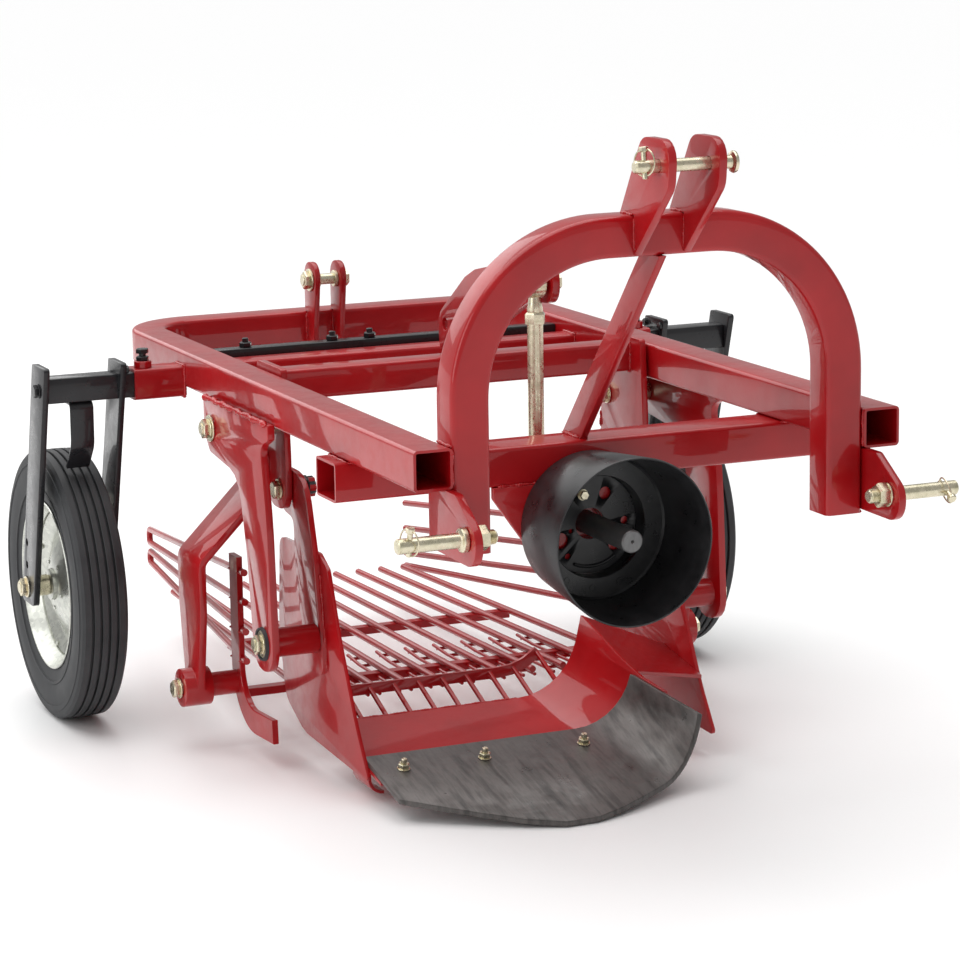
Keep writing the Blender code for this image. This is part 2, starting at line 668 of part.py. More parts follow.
def make_rocker(paint, axis_empty):
    half = ROCKER_TUBE / 2
    inner = ROCKER_HALF - ROCKER_PLATE_T
    span = inner - GAP
    path = [Vector((-span, ROCKER_TUBE_Y, ROCKER_TUBE_Z)), Vector((span, ROCKER_TUBE_Y, ROCKER_TUBE_Z))]
    named(swept(path, (0, 0, 1), half, half, TUBE_WALL), "rocker_tube", paint, axis_empty)

    lobe = 0.032
    front = SHARE_DRIVE_Y - lobe
    plate = prism(rounded([
        (front + 0.010, ROCKER_TUBE_Z + 0.034, 0.008),
        (ROCKER_TUBE_Y + 0.050, ROCKER_TUBE_Z + 0.034, 0.015),
        (ROCKER_Y + 0.034, ROCKER_Z + 0.012, 0.030),
        (ROCKER_Y + 0.022, ROCKER_Z - 0.040, 0.030),
        (SHARE_DRIVE_Y + lobe, SHARE_DRIVE_Z - lobe, lobe),
        (front, SHARE_DRIVE_Z - lobe, lobe),
        (front, SHARE_DRIVE_Z + 0.060, 0.060),
    ]), inner, ROCKER_HALF)
    cut(plate, bore(ROCKER_Y, ROCKER_Z))
    stud_end = SHARE_HALF - SHARE_SIDE_T - 0.020
    join(plate, across(stud_end, inner + 0.002, SHARE_DRIVE_Y, SHARE_DRIVE_Z, BOLT_R))
    join(plate, across(stud_end - 0.012, stud_end + 0.001, SHARE_DRIVE_Y, SHARE_DRIVE_Z, 0.018, 6))
    pair(plate, "rocker_end_plate", paint, (axis_empty, axis_empty))

    tube_top = ROCKER_TUBE_Z + half + GAP
    lever = prism(rounded([
        (ROCKER_TUBE_Y - half, tube_top, 0),
        (ROCKER_TUBE_Y + half + 0.045, tube_top, 0.010),
        (ROCKER_TUBE_Y + half + 0.052, tube_top + 0.056, 0.040),
        (ROCKER_TUBE_Y - 0.060, tube_top + 0.146, 0.120),
        (ROD_EYE_Y + 0.050, ROD_EYE_Z + 0.034, 0.100),
        (ROD_EYE_Y - 0.030, ROD_EYE_Z + 0.030, 0.027),
        (ROD_EYE_Y - 0.030, ROD_EYE_Z - 0.030, 0.027),
        (ROD_EYE_Y + 0.060, ROD_EYE_Z - 0.036, 0.060),
    ], 18.0), LEVER_X - LEVER_T / 2, LEVER_X + LEVER_T / 2)
    cut(lever, across(LEVER_X - 0.03, LEVER_X + 0.03, ROCKER_Y - 0.022, tube_top + 0.044, 0.011))
    join(lever, across(ROD_X - 0.016, LEVER_X, ROD_EYE_Y, ROD_EYE_Z, BOLT_R))
    named(lever, "rocker_lever", paint, axis_empty)


def make_straps(paint, axis_empty):
    upper_x = ROCKER_HALF + GAP + STRAP_T / 2
    run = STRAP_OUT - upper_x
    path = bent_path([
        ((upper_x, SIEVE_PIN_Y, ROCKER_Z - 0.035), 0),
        ((upper_x, SIEVE_PIN_Y, STRAP_KNEE_Z + run), 0.020),
        ((STRAP_OUT, SIEVE_PIN_Y, STRAP_KNEE_Z), 0.020),
        ((STRAP_OUT, SIEVE_PIN_Y, SIEVE_PIN_Z), 0),
    ])
    strap = swept(path, (0, 1, 0), STRAP_W / 2, STRAP_T / 2)
    eye = 0.032
    low, high = STRAP_OUT - 0.022, STRAP_OUT + 0.026
    taper = STRAP_W / 2 - eye
    for way in (-1, 1):
        edge = SIEVE_PIN_Y + way * (STRAP_W / 2 + 0.001)
        narrow = edge - way * (taper + 0.001)
        foot = SIEVE_PIN_Z - eye - 0.01
        outline = [(edge, STRAP_KNEE_Z - 0.080), (edge, foot), (narrow, foot), (narrow, SIEVE_PIN_Z)]
        cut(strap, prism(outline, low, high))
    join(strap, cylinder((low, SIEVE_PIN_Y, SIEVE_PIN_Z), (high, SIEVE_PIN_Y, SIEVE_PIN_Z), eye))
    cut(strap, bore(SIEVE_PIN_Y, SIEVE_PIN_Z))
    pair(strap, "sieve_strap", paint, (axis_empty, axis_empty))


def make_rod(zinc, axis_empty):
    rod = cylinder((ROD_X, ROD_EYE_Y, SHAFT_Z + 0.020), (ROD_X, ROD_EYE_Y, ROD_EYE_Z - 0.018), ROD_R)
    half = ROD_EYE_HALF
    hole = CRANK_PIN_R + 0.002
    ring = [(-half, hole), (half, hole), (half, ROD_EYE_R), (-half, ROD_EYE_R)]
    join(rod, turned(ring, (ROD_X, ROD_EYE_Y, SHAFT_Z), "Y"))
    nut_low, nut_high = ROD_EYE_Z - 0.062, ROD_EYE_Z - 0.034
    join(rod, cylinder((ROD_X, ROD_EYE_Y, nut_low), (ROD_X, ROD_EYE_Y, nut_high), 0.017, 6))
    join(rod, across(ROD_X - 0.012, ROD_X + 0.012, ROD_EYE_Y, ROD_EYE_Z, 0.023))
    cut(rod, across(ROD_X - 0.03, ROD_X + 0.03, ROD_EYE_Y, ROD_EYE_Z, BOLT_R + PIN_PLAY))
    named(rod, "connecting_rod", zinc, axis_empty)


# ---------------------------------------------------------------- share
SHARE_SLOPE = math.tan(math.radians(SHARE_PITCH_DEG))
SHARE_EDGE = SHARE_HALF - SHARE_SIDE_T - GAP


def share_floor(y):
    """Height of the blade's underside, and of the top of the plate that carries it."""
    return (y - SHARE_POINT_Y) * SHARE_SLOPE


def share_section(y, rise=0.0):
    """Section across the share at y, as (x, z) points from the right side plate up to the crest."""
    floor = share_floor(y)
    turn = math.radians(WALL_TURN_DEG)
    flat_end = WALL_X - WALL_LEAN * (y - SHARE_JOINT_Y) - WALL_R * math.sin(turn)
    flats = 8
    section = [(-SHARE_EDGE + (flat_end + SHARE_EDGE) * k / flats, floor) for k in range(flats + 1)]
    steps = 7
    for k in range(1, steps + 1):
        angle = turn * k / steps
        section.append((flat_end + WALL_R * math.sin(angle), floor + WALL_R * (1 - math.cos(angle))))
    if rise:
        crest_x, crest_z = section[-1]
        section.append((crest_x + rise / math.tan(turn), crest_z + rise))
    return section


def carrier_rise(y):
    """What the carrier's wall gains above the blade's crest at y."""
    behind = max(0.0, (y - SHARE_JOINT_Y) / (SHARE_REAR_Y - SHARE_JOINT_Y))
    return WALL_TOP_RISE + WALL_REAR_RISE * behind


def offset_section(section, distance):
    """The section moved square to itself, upwards where the distance is positive."""
    moved = []
    for i, (x, z) in enumerate(section):
        ends = section[max(0, i - 1)], section[min(len(section) - 1, i + 1)]
        along = Vector((ends[1][0] - ends[0][0], ends[1][1] - ends[0][1])).normalized()
        moved.append((x - along.y * distance, z + along.x * distance))
    return moved


def lofted_plate(stations, low, high, rise_at):
    """Plate between two offsets of the share's section, through (y at x) stations from front to rear."""
    shape = bmesh.new()
    rings = []
    count = len(share_section(SHARE_JOINT_Y, rise_at(SHARE_JOINT_Y)))
    for station in stations:
        ring = []
        for distance in (low, high):
            row = []
            for i in range(count):
                y = station(0.0)
                for _ in range(8):
                    y = station(share_section(y, rise_at(y))[i][0])
                x, z = offset_section(share_section(y, rise_at(y)), distance)[i]
                row.append(shape.verts.new((min(max(x, -SHARE_EDGE), SHARE_EDGE), y, z)))
            ring.append(row)
        rings.append(ring)
    for near, far in zip(rings, rings[1:]):
        for i in range(count - 1):
            shape.faces.new((near[1][i], near[1][i + 1], far[1][i + 1], far[1][i]))
            shape.faces.new((near[0][i], far[0][i], far[0][i + 1], near[0][i + 1]))
        for i in (0, count - 1):
            shape.faces.new((near[0][i], near[1][i], far[1][i], far[0][i]))
    for ring in (rings[0], rings[-1]):
        for i in range(count - 1):
            shape.faces.new((ring[0][i], ring[0][i + 1], ring[1][i + 1], ring[1][i]))
    bmesh.ops.triangulate(shape, faces=shape.faces)
    return from_bmesh(shape)


def cutting_edge(x):
    """How far back the blade's edge lies at x. It is steeper on the right of the point."""
    out = x - SHARE_POINT_X
    sweep = SWEEP_LEFT if out > 0 else SWEEP_RIGHT
    return SHARE_POINT_Y + sweep * (math.hypot(out, POINT_ROUND) - POINT_ROUND)


def make_shelf():
    """Flat plate from the crest of the carrier's wall out to the left side plate."""
    shape = bmesh.new()
    rings = []
    for y in (SHELF_FRONT_Y, SHARE_REAR_Y):
        crest_x, crest_z = share_section(y, carrier_rise(y))[-1]
        inner = (crest_x + SHARE_T / 2, crest_z - 0.0008)
        outer = (SHARE_EDGE, SHELF_EDGE_Z + SHELF_EDGE_RISE * (y - SHELF_FRONT_Y))
        corners = (inner, outer, (outer[0], outer[1] - SHARE_T), (inner[0], inner[1] - SHARE_T))
        rings.append([shape.verts.new((x, y, z)) for x, z in corners])
    for k in range(4):
        shape.faces.new((rings[0][k], rings[0][(k + 1) % 4], rings[1][(k + 1) % 4], rings[1][k]))
    shape.faces.new(rings[0])
    shape.faces.new(rings[1])
    bmesh.ops.triangulate(shape, faces=shape.faces)
    return from_bmesh(shape)


def make_share(paint, steel, axis_empty):
    rows = 4
    blade = [
        (lambda x, t=k / rows: cutting_edge(x) * (1 - t) + SHARE_JOINT_Y * t) for k in range(rows + 1)
    ]
    named(lofted_plate(blade, 0.0, BLADE_T, lambda y: 0.0), "share_blade", steel, axis_empty)
    length = SHARE_REAR_Y - SHARE_FRONT_Y
    stations = [(lambda x, y=SHARE_FRONT_Y + length * k / rows: y) for k in range(rows + 1)]
    carrier = lofted_plate(stations, -GAP - SHARE_T, -GAP, carrier_rise)
    named(join(carrier, make_shelf()), "share_carrier", paint, axis_empty)


def make_share_sides(paint, axis_empty):
    inner = SHARE_HALF - SHARE_SIDE_T
    rear = SHARE_PIVOT_Y + 0.185
    plate = prism(rounded([
        (0.420, 0.034, 0.006),
        (0.472, 0.110, 0.250),
        (0.540, 0.240, 0.250),
        (0.580, 0.342, 0.010),
        (0.618, 0.362, 0.010),
        (rear, 0.356, 0.020),
        (rear + 0.014, 0.200, 0.100),
        (rear - 0.010, 0.085, 0.040),
        (rear - 0.095, 0.046, 0.060),
    ], 20.0), inner, SHARE_HALF)
    arm = prism(rounded([
        (SHARE_PIVOT_Y - 0.030, SHARE_PIVOT_Z - 0.060, 0.020),
        (SHARE_PIVOT_Y + 0.004, SHARE_PIVOT_Z + 0.130, 0.200),
        (SHARE_DRIVE_Y - 0.080, SHARE_DRIVE_Z + 0.034, 0.060),
        (SHARE_DRIVE_Y + 0.036, SHARE_DRIVE_Z + 0.036, 0.034),
        (SHARE_DRIVE_Y + 0.036, SHARE_DRIVE_Z - 0.036, 0.034),
        (SHARE_DRIVE_Y - 0.028, SHARE_DRIVE_Z - 0.044, 0.016),
        (SHARE_PIVOT_Y + 0.090, SHARE_PIVOT_Z + 0.090, 0.200),
        (SHARE_PIVOT_Y + 0.046, SHARE_PIVOT_Z - 0.060, 0.030),
    ], 20.0), SHARE_HALF - 0.001, SHARE_ARM_OUT)
    join(plate, arm)
    cut(plate, bore(SHARE_PIVOT_Y, SHARE_PIVOT_Z))
    cut(plate, bore(SHARE_DRIVE_Y, SHARE_DRIVE_Z, BOLT_R + BUSH_PLAY))
    right_plate = mirrored(plate)
    named(plate, "share_side_plate_left", paint, axis_empty)

    lip_x = inner - LIP_R + 0.002
    inside = LIP_R - LIP_T
    outer_arc, inner_arc = [], []
    turns = 6
    for k in range(turns + 1):
        angle = math.radians(90.0 * k / turns)
        outer_arc.append((-lip_x - LIP_R * math.cos(angle), LIP_Z - LIP_R * math.sin(angle)))
        inner_arc.append((-lip_x - inside * math.cos(angle), LIP_Z - inside * math.sin(angle)))
    root_z = LIP_Z + 0.008
    root_x = -inner - 0.002
    outline = [(root_x, root_z)] + outer_arc + inner_arc[::-1] + [(root_x + LIP_T, root_z)]
    join(right_plate, prism(outline, 0.432, 0.500, "Y"))
    named(right_plate, "share_side_plate_right", paint, axis_empty)


def make_grate(paint, axis_empty):
    """Open cells behind the share, under one cross strip, that lead onto the sieve."""
    front = SHARE_REAR_Y + GAP
    back = SHARE_REAR_Y + GRATE_LENGTH
    floor = share_floor(SHARE_REAR_Y)
    crest_x = share_section(SHARE_REAR_Y)[-1][0]
    rise = GRATE_RISE + GRATE_LENGTH * SHARE_SLOPE

    def height(x):
        flat_end = crest_x - WALL_R * math.sin(math.radians(WALL_TURN_DEG))
        out = max(0.0, x - flat_end)
        return floor + WALL_R - math.sqrt(WALL_R ** 2 - min(out, WALL_R * 0.8) ** 2)

    first = -SHARE_EDGE + 0.012
    count = int((crest_x - 0.020 - first) / GRATE_PITCH)
    columns = [first + GRATE_PITCH * i for i in range(count + 1)]
    grate = None
    for x in columns:
        low = height(x) - SHARE_T - GAP
        high = height(x) - GAP
        outline = [(front, low), (front, high), (back, high + rise), (back, low + rise)]
        strip = prism(outline, x - 0.003, x + 0.003)
        grate = strip if grate is None else join(grate, strip)
    steps = 16
    path = []
    for k in range(steps + 1):
        x = columns[0] - 0.003 + (columns[-1] - columns[0] + 0.006) * k / steps
        path.append(Vector((x, back - 0.003, height(x) + rise - 0.007)))
    join(grate, swept(path, (0, 1, 0), 0.003, 0.009))
    named(grate, "share_rear_grate", paint, axis_empty)


# ---------------------------------------------------------------- sieve
def make_sieve(paint, axis_empty):
    half_n = (SIEVE_BED_RODS - 1) / 2
    bars_y = (SIEVE_PIN_Y + 0.010, 1.180)
    radius = SIEVE_ROD_R

    def bed_point(share, y):
        t = (y - SIEVE_BED_FRONT_Y) / (SIEVE_BED_REAR_Y - SIEVE_BED_FRONT_Y)
        wide = SIEVE_BED_FRONT_HALF + (SIEVE_BED_REAR_HALF - SIEVE_BED_FRONT_HALF) * t
        z = SIEVE_BED_FRONT_Z + (SIEVE_BED_REAR_Z - SIEVE_BED_FRONT_Z) * t
        return Vector((wide * share, y, z))

    bed = None
    for i in range(SIEVE_BED_RODS):
        share = (i - half_n) / half_n
        ends = [bed_point(share, SIEVE_BED_FRONT_Y), bed_point(share, SIEVE_BED_REAR_Y)]
        rod = rod_along(ends, radius)
        bed = rod if bed is None else join(bed, rod)
    for y in bars_y:
        low = bed_point(0, y).z - radius * 0.8 - 0.008
        wide = SIEVE_FRONT_HALF - SIEVE_FRAME_T - GAP if y == bars_y[0] else bed_point(1, y).x + 0.012
        join(bed, box(-wide, wide, y - 0.010, y + 0.010, low - 0.006, low + 0.008))
    named(bed, "sieve_bed", paint, axis_empty)

    named(sieve_side(SIEVE_LEFT_REAR_Z, False), "sieve_side_left", paint, axis_empty)
    other = sieve_side(SIEVE_RIGHT_REAR_Z, True)
    named(mirrored(other), "sieve_side_right", paint, axis_empty)
    bpy.data.objects.remove(other, do_unlink=True)


def sieve_side(rear_heights, hairpins):
    """Side of the sieve, made on the machine's left. Its rods end free, or each two are one hairpin."""
    outer = SIEVE_FRONT_HALF
    inner = outer - SIEVE_FRAME_T
    x = (outer + inner) / 2
    frame_path = bent_path([
        ((x, SIEVE_PIN_Y, SIEVE_SIDE_Z[-1] + 0.022), 0),
        ((x, SIEVE_PIN_Y, 0.052), 0.085),
        ((x, SIEVE_BED_FRONT_Y - 0.055, 0.062), 0),
    ])
    side = swept(frame_path, (1, 0, 0), SIEVE_FRAME_T / 2, SIEVE_FRAME_W / 2)
    start = SIEVE_PIN_Y - SIEVE_FRAME_W / 2 - 0.022
    fronts = [Vector((x, start, z)) for z in SIEVE_SIDE_Z]
    rears = [Vector((SIEVE_REAR_HALF, SIEVE_REAR_Y, z)) for z in rear_heights]
    if hairpins:
        for k in (0, 2):
            corners = [(fronts[k + 1], 0), (rears[k + 1], SIEVE_HAIRPIN_R), (rears[k], SIEVE_HAIRPIN_R)]
            join(side, rod_along(bent_path(corners + [(fronts[k], 0)], 30.0), SIEVE_ROD_R))
    else:
        for first, last in zip(fronts, rears):
            join(side, rod_along([first, last], SIEVE_ROD_R))
    y, z = SIEVE_PIN_Y, SIEVE_PIN_Z
    boss_out = STRAP_OUT - 0.022 - 0.0015
    stud_out = STRAP_OUT + 0.026 + 0.0015
    join(side, across(inner + 0.002, boss_out, y, z, 0.020))
    join(side, across(inner + 0.004, stud_out + 0.002, y, z, BOLT_R))
    join(side, across(stud_out, stud_out + 0.012, y, z, 0.0165, 6))
    return side


# ---------------------------------------------------------------- rear clevis and wheels
def make_rear_clevis(paint):
    face = FRAME_REAR - TUBE / 2 - GAP
    pin_z = ARM_TOP + CLEVIS_PIN_RISE
    y = face - 0.022
    outline = rounded([
        (face, ARM_BOTTOM, 0),
        (face, ARM_TOP + GAP, 0),
        (face + 0.010, ARM_TOP + GAP, 0),
        (y + CLEVIS_EAR_R, pin_z + CLEVIS_EAR_R, CLEVIS_EAR_R - 0.005),
        (y - CLEVIS_EAR_R, pin_z + CLEVIS_EAR_R, CLEVIS_EAR_R - 0.005),
        (face - 0.030, ARM_BOTTOM, 0.004),
    ])
    right = CLEVIS_X - CLEVIS_HALF - CLEVIS_EAR_T / 2
    left = CLEVIS_X + CLEVIS_HALF + CLEVIS_EAR_T / 2
    clevis = prism(outline, left - CLEVIS_EAR_T, left)
    bolt = hex_bolt(right - 0.014, left + 0.004, y, pin_z, BOLT_R, 0.016, 0.010)
    join(clevis, prism(outline, right, right + CLEVIS_EAR_T), bolt)
    join(clevis, across(right - 0.016, right + 0.001, y, pin_z, 0.020))
    named(clevis, "rear_clevis", paint)


def make_axle_beam(paint, black):
    half = SOCKET / 2
    span = ARM_INNER - GAP
    inner_path = [Vector((-span, BEAM_Y, BEAM_Z)), Vector((span, BEAM_Y, BEAM_Z))]
    named(swept(inner_path, (0, 0, 1), half, half, SOCKET_WALL), "wheel_cross_tube", paint)
    path = [Vector((ARM_OUTER + GAP, BEAM_Y, BEAM_Z)), Vector((SOCKET_END, BEAM_Y, BEAM_Z))]
    pair(swept(path, (0, 0, 1), half, half, SOCKET_WALL), "wheel_beam_socket", paint)
    reach = FORK_OUT - FORK_T - GAP
    side = BEAM / 2
    beam = box(ARM_OUTER + 0.012, reach, BEAM_Y - side, BEAM_Y + side, BEAM_Z - side, BEAM_Z + side)
    pair(beam, "wheel_beam", black)
    tie_y = BEAM_Y + half + 0.030
    tie = box(-ARM_INNER + GAP, ARM_INNER - GAP, tie_y, tie_y + 0.030, BEAM_Z + 0.004, BEAM_Z + 0.034)
    named(tie, "rear_tie_bar", black)


def make_wheel_carriers(black, zinc):
    top_z = BEAM_Z + BEAM / 2 + 0.020
    lean = (WHEEL_Y - BEAM_Y) / (BEAM_Z - WHEEL_R)
    half = FORK_W / 2
    outline = rounded([
        (BEAM_Y - half - 0.006, top_z, 0.006),
        (BEAM_Y + half - 0.006, top_z, 0.006),
        (BEAM_Y + half + lean * 0.10, BEAM_Z - 0.10, 0.050),
        (WHEEL_Y + half, WHEEL_R - 0.028, 0.012),
        (WHEEL_Y - half, WHEEL_R - 0.028, 0.012),
    ])
    play = AXLE_R + PIN_PLAY
    for name, low in (("fork_plate_outer", FORK_OUT - FORK_T), ("fork_plate_inner", FORK_IN)):
        high = low + FORK_T
        plate = prism(outline, low, high)
        cut(plate, across(low - 0.01, high + 0.01, WHEEL_Y, WHEEL_R, play))
        for drop in (0.040, 0.080):
            y = WHEEL_Y - lean * drop * 0.4
            cut(plate, across(low - 0.01, high + 0.01, y, WHEEL_R + drop, 0.007, 12))
        if name == "fork_plate_inner":
            side = BEAM / 2 + GAP
            back, front = BEAM_Y + side, BEAM_Y - side
            cut(plate, box(low - 0.01, high + 0.01, front, back, BEAM_Z - side, BEAM_Z + side))
        pair(plate, name, black)

    low, high = FORK_IN - 0.012, FORK_OUT + GAP + 0.001
    axle = hex_bolt(low, high, WHEEL_Y, WHEEL_R, AXLE_R, 0.016, 0.012, 0.016, 0.010)
    join(axle, across(FORK_IN + FORK_T + GAP, WHEEL_X - HUB_L / 2 - 0.001, WHEEL_Y, WHEEL_R, 0.018))
    join(axle, across(WHEEL_X + HUB_L / 2 + 0.001, FORK_OUT - FORK_T - GAP, WHEEL_Y, WHEEL_R, 0.018))
    pair(axle, "wheel_axle", zinc)

    top = BEAM_Z - BEAM / 2 - GAP
    foot_y = BEAM_Y + 0.022
    foot_z = WHEEL_R + math.sqrt(WHEEL_R ** 2 - (WHEEL_Y - foot_y) ** 2) + 0.010
    scraper_path = bent_path([
        ((WHEEL_X, BEAM_Y + 0.018, top - 0.003), 0),
        ((WHEEL_X, BEAM_Y - 0.016, top - 0.003), 0.010),
        ((WHEEL_X, BEAM_Y - 0.014, top - 0.075), 0.030),
        ((WHEEL_X, foot_y, foot_z), 0),
    ])
    pair(swept(scraper_path, (1, 0, 0), 0.020, 0.003), "wheel_scraper", black)


def make_wheels(rubber, galvanised, axis_empties):
    centre = (WHEEL_X, WHEEL_Y, WHEEL_R)
    half = TYRE_W / 2
    bead = RIM_R - 0.008
    belly = (bead + WHEEL_R) / 2
    tyre = rounded([
        (-half + 0.010, bead, 0.004),
        (-half, belly, 0.030),
        (-half + 0.006, WHEEL_R - 0.012, 0.016),
        (-half * 0.45, WHEEL_R, 0),
        (half * 0.45, WHEEL_R, 0),
        (half - 0.006, WHEEL_R - 0.012, 0.016),
        (half, belly, 0.030),
        (half - 0.010, bead, 0.004),
    ], 24.0)
    pair(turned(tyre, centre, "X", WHEEL_ROUND), "tyre", rubber, axis_empties)
    seat = bead - GAP
    lip = RIM_W / 2
    wall = 0.004
    hub_half = HUB_L / 2
    play = AXLE_R + PIN_PLAY
    # Outer barrel from the left lip to the right one, then back along the inside, the disc and the hub
    profile = [
        (-lip + 0.006, seat), (lip - 0.006, seat), (lip, seat - 0.001), (lip, seat - 0.001 - wall),
        (lip - 0.008, seat - wall - 0.002), (0.018, seat - 0.024), (0.010, seat - 0.034),
        (0.020, 0.072), (0.022, 0.044), (hub_half, HUB_R), (hub_half, play), (-hub_half, play),
        (-hub_half, HUB_R), (0.014, HUB_R + 0.004), (0.014, 0.042), (0.012, 0.072),
        (0.000, seat - 0.038), (-0.012, seat - 0.022), (-lip + 0.008, seat - wall - 0.002),
        (-lip, seat - 0.001 - wall), (-lip, seat - 0.001),
    ]
    pair(turned(profile, centre, "X", WHEEL_ROUND), "wheel_rim", galvanised, axis_empties)


# ---------------------------------------------------------------- the machine
def centre_over_origin():
    """Moves the machine along Y so that the middle of its length stands at the origin."""
    bpy.context.view_layer.update()
    solids = [obj for obj in bpy.data.objects if obj.type == "MESH"]
    ends = [(obj.matrix_world @ vert.co).y for obj in solids for vert in obj.data.vertices]
    middle = (min(ends) + max(ends)) / 2
    for obj in bpy.data.objects:
        if obj.parent is None:
            obj.location.y -= middle


def main():
    clear_scene()
    red = material("red_paint", (0.55, 0.02, 0.02), 0.25)
    black = material("black_paint", (0.02, 0.02, 0.022), 0.35)
    plastic = material("black_plastic", (0.025, 0.025, 0.025), 0.45)
    zinc = material("yellow_zinc", (0.62, 0.55, 0.36), 0.35, 0.9)
    steel = material("bare_steel", (0.32, 0.31, 0.30), 0.40, 0.9)
    galvanised = material("galvanised_steel", (0.62, 0.64, 0.62), 0.35, 0.8)
    rubber = material("tyre_rubber", (0.03, 0.03, 0.032), 0.65)

    rocker_axis = joint_empty("rocker_axis", (0, ROCKER_Y, ROCKER_Z))
    share_axis = joint_empty("share_axis", (0, SHARE_PIVOT_Y, SHARE_PIVOT_Z))
    sieve_axis = joint_empty("sieve_axis", (0, SIEVE_PIN_Y, SIEVE_PIN_Z))
    rod_axis = joint_empty("rod_axis", (ROD_X, ROD_EYE_Y, ROD_EYE_Z))
    shaft_axis = joint_empty("shaft_axis", (0, SHAFT_FRONT, SHAFT_Z))
    wheel_axes = (
        joint_empty("wheel_axis_left", (WHEEL_X, WHEEL_Y, WHEEL_R)),
        joint_empty("wheel_axis_right", (-WHEEL_X, WHEEL_Y, WHEEL_R)),
    )

    make_frame(red)
    make_arch(red)
    make_top_hitch(red, zinc)
    make_lower_hitch(red, zinc)
    make_cross_tube(red)
    make_brace(red)
    make_bearing(red, red)
    make_guard(plastic)
    make_shaft(steel, shaft_axis)
    make_hangers(red, zinc)
    make_rocker(red, rocker_axis)
    make_straps(red, rocker_axis)
    make_rod(zinc, rod_axis)
    make_share(red, steel, share_axis)
    make_share_sides(red, share_axis)
    make_grate(red, share_axis)
    make_sieve(red, sieve_axis)
    make_rear_clevis(red)
    make_axle_beam(red, black)
    make_wheel_carriers(black, zinc)
    make_wheels(rubber, galvanised, wheel_axes)
    centre_over_origin()


main()
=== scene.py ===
"""Looks of the mounted vibrating potato digger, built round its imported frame."""

from __future__ import annotations

import sys

import logging
import math
from dataclasses import dataclass
from enum import Enum
from typing import Iterable, Optional, Sequence

import bmesh
import bpy
from mathutils import Matrix, Vector


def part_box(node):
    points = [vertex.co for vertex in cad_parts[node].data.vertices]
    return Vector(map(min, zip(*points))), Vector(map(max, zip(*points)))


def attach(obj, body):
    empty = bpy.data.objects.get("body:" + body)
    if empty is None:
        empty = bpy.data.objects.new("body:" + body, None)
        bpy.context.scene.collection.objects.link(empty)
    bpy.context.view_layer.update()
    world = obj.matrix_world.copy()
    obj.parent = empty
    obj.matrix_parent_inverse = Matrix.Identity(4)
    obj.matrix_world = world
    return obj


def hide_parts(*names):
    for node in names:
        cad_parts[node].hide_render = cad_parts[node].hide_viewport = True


log = logging.getLogger("digger")

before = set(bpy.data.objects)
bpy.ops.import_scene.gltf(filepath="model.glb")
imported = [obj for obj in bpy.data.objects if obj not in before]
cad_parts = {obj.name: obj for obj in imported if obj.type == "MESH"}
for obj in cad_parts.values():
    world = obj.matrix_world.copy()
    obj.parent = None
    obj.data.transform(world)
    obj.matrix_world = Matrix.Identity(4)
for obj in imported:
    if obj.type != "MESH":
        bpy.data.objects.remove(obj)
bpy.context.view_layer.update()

Outline = Sequence[tuple[float, float]]
Ring = list[Vector]


class Axis(Enum):
    """Directions that a turned or extruded piece can lie along."""

    X = Vector((1.0, 0.0, 0.0))
    Y = Vector((0.0, 1.0, 0.0))
    Z = Vector((0.0, 0.0, 1.0))


class Side(Enum):
    """The two sides of the machine, with the sign of their X."""

    LEFT = 1.0
    RIGHT = -1.0

    @property
    def word(self) -> str:
        """The ending that node names take on this side."""
        return self.name.lower()


# ------------------------------------------------------------------ finishes
@dataclass(frozen=True)
class Finish:
    """What every finish shares: a name, a slot name and a principled shader."""

    name: str
    slot: str

    def build(self) -> bpy.types.Material:
        """Makes the material, or returns the one that was made before.

        Returns:
            The finish as a node material.
        """
        known = bpy.data.materials.get(self.name)
        if known is not None:
            return known
        made = bpy.data.materials.new(self.name)
        made.use_nodes = True
        self.paint(NodeSheet(made))
        return made

    def paint(self, sheet: NodeSheet) -> None:
        """Fills the node sheet; each finish has its own way.

        Args:
            sheet: The material's nodes, with a principled shader ready.
        """
        raise NotImplementedError


